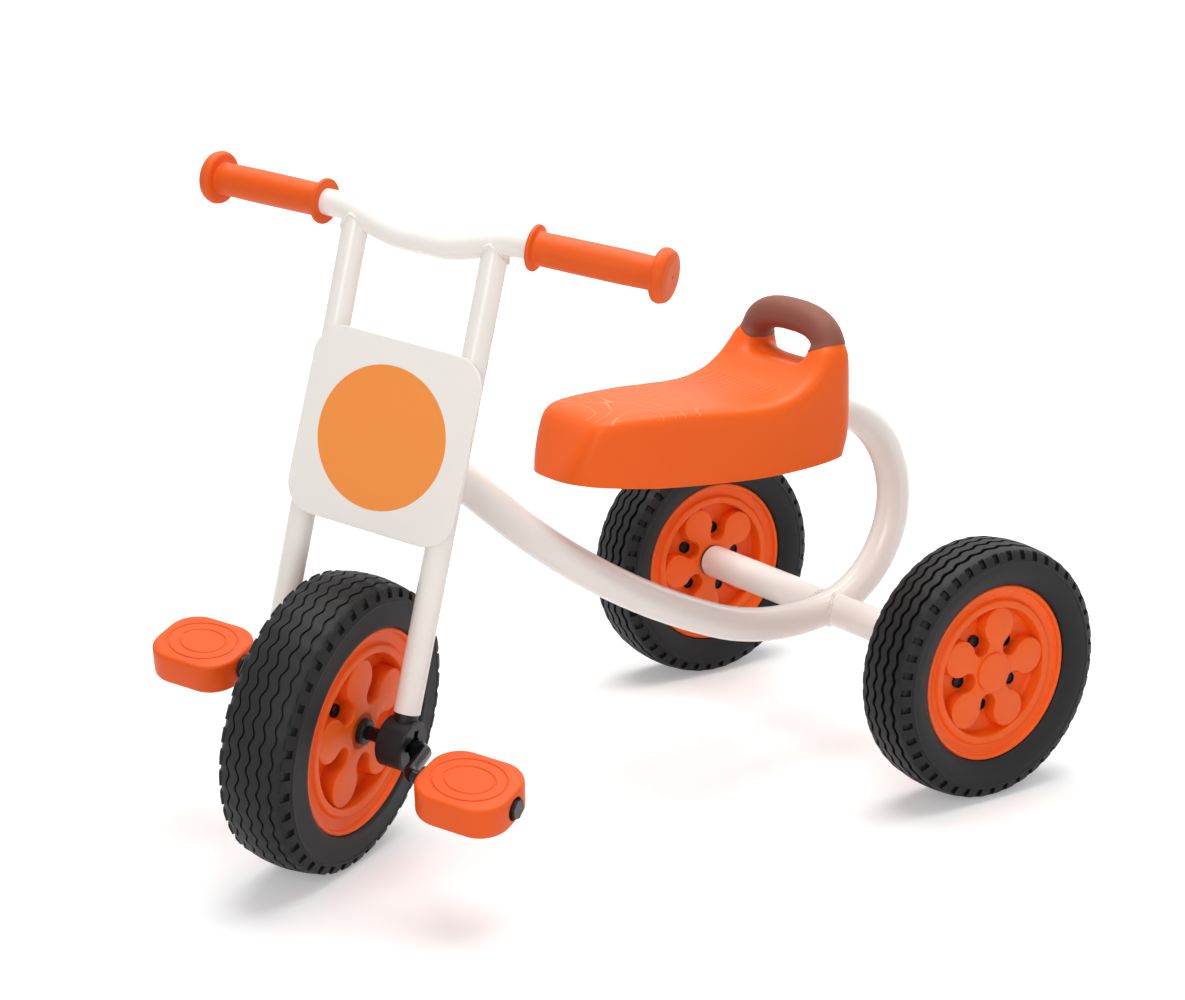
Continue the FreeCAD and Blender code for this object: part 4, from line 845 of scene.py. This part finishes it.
front_ring = tyre("front_tyre_moulding", FRONT_TYRE_R, FRONT_TYRE_HALF, FRONT_R, FRONT_HALF, FRONT_PITCHES,
                  front_grooves, (0.0016, 0.0022), 0.0016, 0.0042)
put(front_ring, FRONT_PLACE)
dress(front_ring, tyre_rubber, "front_wheel", "tyre", "front_tyre")

# ---- Seat -------------------------------------------------------------------------------------------
# One deep orange shell, moulded in one piece: a flared nose, a level top that sweeps up into the back,
# and a carrying handle over a slot. It is open below, where two brackets screw it to the main tube.
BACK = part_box("seat_shell")[1].y
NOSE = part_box("seat_shell")[0].y
SEAT_SKIRT = 0.245


def prism(name, outline, facing, depth, start=0.0):
    """Solid with this outline, facing along X, Y or Z and this deep from its start, which may be tapered."""
    bpy.ops.object.select_all(action="DESELECT")
    bpy.ops.mesh.primitive_circle_add(vertices=len(outline), radius=0.1)
    solid = bpy.context.object
    solid.name = name
    for v, (a, b) in zip(solid.data.vertices, outline):
        v.co = {"X": (start, a, b), "Y": (a, start, b), "Z": (a, b, start)}[facing]
    bpy.ops.object.mode_set(mode="EDIT")
    bpy.ops.mesh.select_all(action="SELECT")
    bpy.ops.mesh.edge_face_add()
    step = {"X": (depth, 0, 0), "Y": (0, depth, 0), "Z": (0, 0, depth)}[facing]
    bpy.ops.mesh.extrude_region_move(TRANSFORM_OT_translate={"value": step})
    if facing == "Z":
        bpy.ops.transform.resize(value=(0.915, 1, 1), center_override=(0, 0, start + depth))
    bpy.ops.mesh.select_all(action="SELECT")
    bpy.ops.mesh.normals_make_consistent(inside=False)
    bpy.ops.object.mode_set(mode="OBJECT")
    return solid


def curve_through(points, steps=5):
    """Smooth run of points through the given ones."""
    run = []
    ends = [points[0]] + list(points) + [points[-1]]
    for p0, p1, p2, p3 in zip(ends, ends[1:], ends[2:], ends[3:]):
        for k in range(steps):
            t = k / steps
            run.append(tuple(
                0.5 * (2 * b + (c - a) * t + (2 * a - 5 * b + 4 * c - d) * t * t
                       + (3 * b - a - 3 * c + d) * t ** 3) for a, b, c, d in zip(p0, p1, p2, p3)))
    run.append(tuple(points[-1]))
    return run


def skin_over(shape, voxel, rounds):
    """Remakes the solid as one even skin and eases its edges and inner corners into curves."""
    alone(shape)
    skin = shape.modifiers.new("one skin", "REMESH")
    skin.mode = "VOXEL"
    skin.voxel_size = voxel
    bpy.ops.object.modifier_apply(modifier=skin.name)
    ease = shape.modifiers.new("ease", "SMOOTH")
    ease.factor = 0.5
    ease.iterations = rounds
    bpy.ops.object.modifier_apply(modifier=ease.name)


def quarter(cx, cy, r, a0, a1, steps=8):
    """Points of an arc from angle a0 to a1, in degrees."""
    turns = [math.radians(a0 + (a1 - a0) * k / steps) for k in range(steps + 1)]
    return [(cx + r * math.cos(t), cy + r * math.sin(t)) for t in turns]


def handle_bar(name, radius, half, middle, rise, drop, y):
    """Round bar bent into a closed loop: an arch above its middle height, and feet sunk below it."""
    bpy.ops.object.select_all(action="DESELECT")
    bpy.ops.mesh.primitive_torus_add(major_radius=0.1, minor_radius=radius, major_segments=96,
                                     minor_segments=32, rotation=(math.pi / 2, 0, 0))
    bar = bpy.context.object
    bar.name = name
    bpy.ops.object.transform_apply(location=False, rotation=True, scale=False)
    for v in bar.data.vertices:
        turn = math.atan2(v.co.z, v.co.x)
        out = math.hypot(v.co.x, v.co.z) - 0.1
        height = rise if turn > 0 else drop
        along = math.copysign(abs(math.cos(turn)) ** 0.74, math.cos(turn))
        up = math.copysign(abs(math.sin(turn)) ** 0.80, turn)
        facing = Vector((along / half, up / height)).normalized()
        v.co = (half * along + out * facing.x, y + v.co.y, middle + height * up + out * facing.y)
    return bar


HANDLE_R = 0.0146
HANDLE_HALF = 0.0530
HANDLE_Z = 0.3760
SLOT_HALF = 0.0400
LEDGE_Z = 0.3690
orange_seat = finish("orange_seat_plastic", colour(243, 98, 12), colour(238, 92, 9), 0.44, 7, 900, 0.00005)
side_view = [(NOSE - 0.0115, SEAT_SKIRT), (NOSE - 0.0095, 0.290), (NOSE - 0.0030, 0.308),
             (NOSE + 0.0075, 0.330)]
side_view += curve_through([(BACK - ahead / 1000, up / 1000) for ahead, up in (
    (264, 342), (254, 347.5), (236, 349.2), (205, 349.3), (165, 348.2), (125, 345.8), (100, 345.6),
    (84, 347.5), (68, 352), (56, 359), (47, 367), (39.5, 377), (35, 386), (33, 389))])
side_view += [(BACK - 0.0045, 0.389), (BACK - 0.002, 0.381), (BACK + 0.0008, 0.365), (BACK + 0.0014, 0.335),
              (BACK - 0.0005, 0.314), (BACK - 0.0050, 0.300), (BACK - 0.0130, 0.2885),
              (BACK - 0.020, SEAT_SKIRT)]
seat = prism("seat_moulding", side_view, "X", 0.24, -0.12)

flank = curve_through([(0.0, NOSE - 0.0105), (0.016, NOSE - 0.0088), (0.0290, NOSE - 0.0040),
                       (0.0400, NOSE + 0.0045), (0.0482, NOSE + 0.0160), (0.0540, NOSE + 0.033),
                       (0.0588, NOSE + 0.054), (0.0630, NOSE + 0.080), (0.0684, NOSE + 0.125),
                       (0.0730, NOSE + 0.166), (0.0758, NOSE + 0.203), (0.0766, NOSE + 0.230),
                       (0.0762, BACK - 0.022)])
right_half = flank[:-1] + quarter(0.0762 - 0.022, BACK - 0.0204, 0.022, 0, 90)
plan = right_half + [(-x, y) for x, y in reversed(right_half[1:])]
cut_away(seat, prism("plan", plan, "Z", 0.20, SEAT_SKIRT + 0.001), "INTERSECT")
right_edge = [(0.0800, SEAT_SKIRT - 0.01), (0.0800, 0.300), (0.0780, 0.330), (0.0745, 0.352),
              (0.0715, 0.370), (0.0690, 0.383), (0.0670, 0.389)]
cut_away(seat, prism("front_view", right_edge + [(-x, z) for x, z in reversed(right_edge)], "Y", 0.4, -0.1),
         "INTERSECT")
slot = [(-SLOT_HALF, 0.45)] + quarter(-SLOT_HALF + 0.009, LEDGE_Z + 0.009, 0.009, 180, 270)
slot += quarter(SLOT_HALF - 0.009, LEDGE_Z + 0.009, 0.009, 270, 360) + [(SLOT_HALF, 0.45)]
opening = prism("slot", slot, "Y", 0.12, BACK - 0.09)
slot_edge = Vector((0, BACK - 0.045, LEDGE_Z))
put(opening, Matrix.Translation(slot_edge) @ Matrix.Rotation(math.radians(-15), 4, "X")
    @ Matrix.Translation(-slot_edge))
cut_away(seat, opening)
skin_over(seat, 0.0020, 90)
bar = handle_bar("handle_bar", HANDLE_R, HANDLE_HALF, HANDLE_Z, 0.0298, 0.022, BACK - 0.0178)
cut_away(seat, bar, "UNION")
skin_over(seat, 0.0018, 26)

# ---- Seat handle's sleeve ---------------------------------------------------------------------------
# A soft brown rubber sleeve moulded over the carrying handle, a little proud of the orange shell.
# It ends in a line on each shoulder of the back, which slants down towards the slot.
brown_rubber = finish("brown_grip_rubber", colour(134, 80, 65), colour(127, 75, 60), 0.58, 18, 700, 0.00006)
alone(seat)
bpy.ops.object.duplicate()
sleeve = bpy.context.object
sleeve.name = "seat_handle_sleeve"
bpy.ops.object.mode_set(mode="EDIT")
bpy.ops.mesh.select_all(action="SELECT")
for lean, height in ((0.42, 0.3845), (-0.42, 0.3845), (0, LEDGE_Z + 0.0033)):
    bpy.ops.mesh.bisect(plane_co=(math.copysign(HANDLE_HALF, lean), BACK - 0.018, height),
                        plane_no=(lean, 0, -1), use_fill=True, clear_outer=True)
    bpy.ops.mesh.select_all(action="SELECT")
bpy.ops.transform.shrink_fatten(value=0.0006)
bpy.ops.object.mode_set(mode="OBJECT")
bpy.ops.object.shade_smooth_by_angle(angle=math.radians(40))
dress(sleeve, brown_rubber, "frame", slot_of["seat_handle_grip"], "seat_handle_grip")

# ---- Seat's underside -------------------------------------------------------------------------------
# The shell's lower edge follows a shallow curve. Inside it is hollow, with walls of about 4 mm, and the
# main tube comes in through a round hole at the back.
lower_edge = curve_through([(NOSE - 0.025, 0.294), (NOSE, 0.292), (NOSE + 0.018, 0.290),
                            (NOSE + 0.079, 0.284), (NOSE + 0.164, 0.281), (NOSE + 0.229, 0.284),
                            (BACK, 0.291), (BACK + 0.018, 0.294)])
under = [(NOSE - 0.025, 0.2)] + lower_edge + [(BACK + 0.018, 0.2)]
cut_away(seat, prism("under", under, "X", 0.3, -0.15))
choose_faces(seat, lambda c, n: n.z < -0.8 and c.z < 0.297)
bpy.ops.mesh.inset(thickness=0.004)
bpy.ops.mesh.extrude_region_move(TRANSFORM_OT_translate={"value": (0, 0, 0.03)})
bpy.ops.transform.resize(value=(0.955, 1, 0), center_override=(0, 0, 0.336))
bpy.ops.transform.resize(value=(1, 0.905, 1), center_override=(0, BACK - 0.004, 0.336))
bpy.ops.object.mode_set(mode="OBJECT")
TAIL_HOLE_R = 0.0185
TAIL_HOLE_Z = 0.3148
tube_end = round_bar(TAIL_HOLE_R, -0.02, 0.02, sides=64)
put(tube_end, Matrix.Translation((0, BACK, TAIL_HOLE_Z)) @ Matrix.Rotation(math.pi / 2, 4, "Z"))
cut_away(seat, tube_end)
alone(seat)
bpy.ops.object.shade_smooth_by_angle(angle=math.radians(38))
dress(seat, orange_seat, "frame", slot_of["seat_shell"], "seat_shell")


# ---- Lines on the seat's top ------------------------------------------------------------------------
# The mould leaves shallow decoration in the seat's top: pale winding lines in front, where the child climbs
# on, and fine dark ones across the back. They belong to the seat's finish.
def seat_lines():
    """Masks of the seat top's fine surface lines: pale winding ones in front, dark straight ones behind."""
    group = bpy.data.node_groups.new("seat_lines", "ShaderNodeTree")
    face = group.interface
    face.new_socket("Vector", in_out="INPUT", socket_type="NodeSocketVector")
    face.new_socket("Pale", in_out="OUTPUT", socket_type="NodeSocketFloat")
    face.new_socket("Dark", in_out="OUTPUT", socket_type="NodeSocketFloat")
    entry = group.nodes.new("NodeGroupInput")
    leave = group.nodes.new("NodeGroupOutput")
    split = group.nodes.new("ShaderNodeSeparateXYZ")
    group.links.new(entry.outputs["Vector"], split.inputs["Vector"])

    def step(kind, first, second, clamp=False):
        """One sum; its terms are outputs of other nodes or plain numbers."""
        node = group.nodes.new("ShaderNodeMath")
        node.operation = kind
        node.use_clamp = clamp
        for socket, term in zip(node.inputs, (first, second)):
            if isinstance(term, (int, float)):
                socket.default_value = term
            else:
                group.links.new(term, socket)
        return node.outputs[0]

    hills = group.nodes.new("ShaderNodeTexNoise")
    hills.inputs["Scale"].default_value = 12
    hills.inputs["Detail"].default_value = 0.4
    group.links.new(entry.outputs["Vector"], hills.inputs["Vector"])
    height = step("MULTIPLY", hills.outputs["Fac"], 15)
    winding = step("LESS_THAN", step("PINGPONG", height, 0.5), 0.034)
    bend = step("MULTIPLY", hills.outputs["Fac"], 0.03)
    across = step("ADD", split.outputs["X"], bend)
    straight = step("LESS_THAN", step("PINGPONG", across, 0.0038), 0.0007)
    top = step("GREATER_THAN", split.outputs["Z"], 0.3440)
    front = step("MULTIPLY", step("LESS_THAN", split.outputs["Y"], 0.085), top)
    back = step("MULTIPLY", step("GREATER_THAN", split.outputs["Y"], 0.118), top)
    back = step("MULTIPLY", step("LESS_THAN", split.outputs["Y"], 0.172), back)
    back = step("MULTIPLY", step("LESS_THAN", step("ABSOLUTE", split.outputs["X"], 0), 0.05), back)
    group.links.new(step("MULTIPLY", winding, front), leave.inputs["Pale"])
    group.links.new(step("MULTIPLY", straight, back), leave.inputs["Dark"])
    return group


tree = orange_seat.node_tree
lines = tree.nodes.new("ShaderNodeGroup")
lines.node_tree = seat_lines()
base = tree.nodes["clouded colour"].outputs["Result"]
tree.links.new(tree.nodes["Texture Coordinate"].outputs["Object"], lines.inputs["Vector"])
for mask, line_colour, share in (("Pale", colour(252, 160, 108), 0.55), ("Dark", colour(190, 60, 10), 0.80)):
    strength = tree.nodes.new("ShaderNodeMath")
    strength.operation = "MULTIPLY"
    strength.inputs[1].default_value = share
    over = tree.nodes.new("ShaderNodeMix")
    over.data_type = "RGBA"
    over.inputs["B"].default_value = line_colour
    tree.links.new(lines.outputs[mask], strength.inputs[0])
    tree.links.new(strength.outputs[0], over.inputs["Factor"])
    tree.links.new(base, over.inputs["A"])
    base = over.outputs["Result"]
tree.links.new(base, tree.nodes["Principled BSDF"].inputs["Base Color"])

# ---- Last update ------------------------------------------------------------------------------------
bpy.context.view_layer.update()
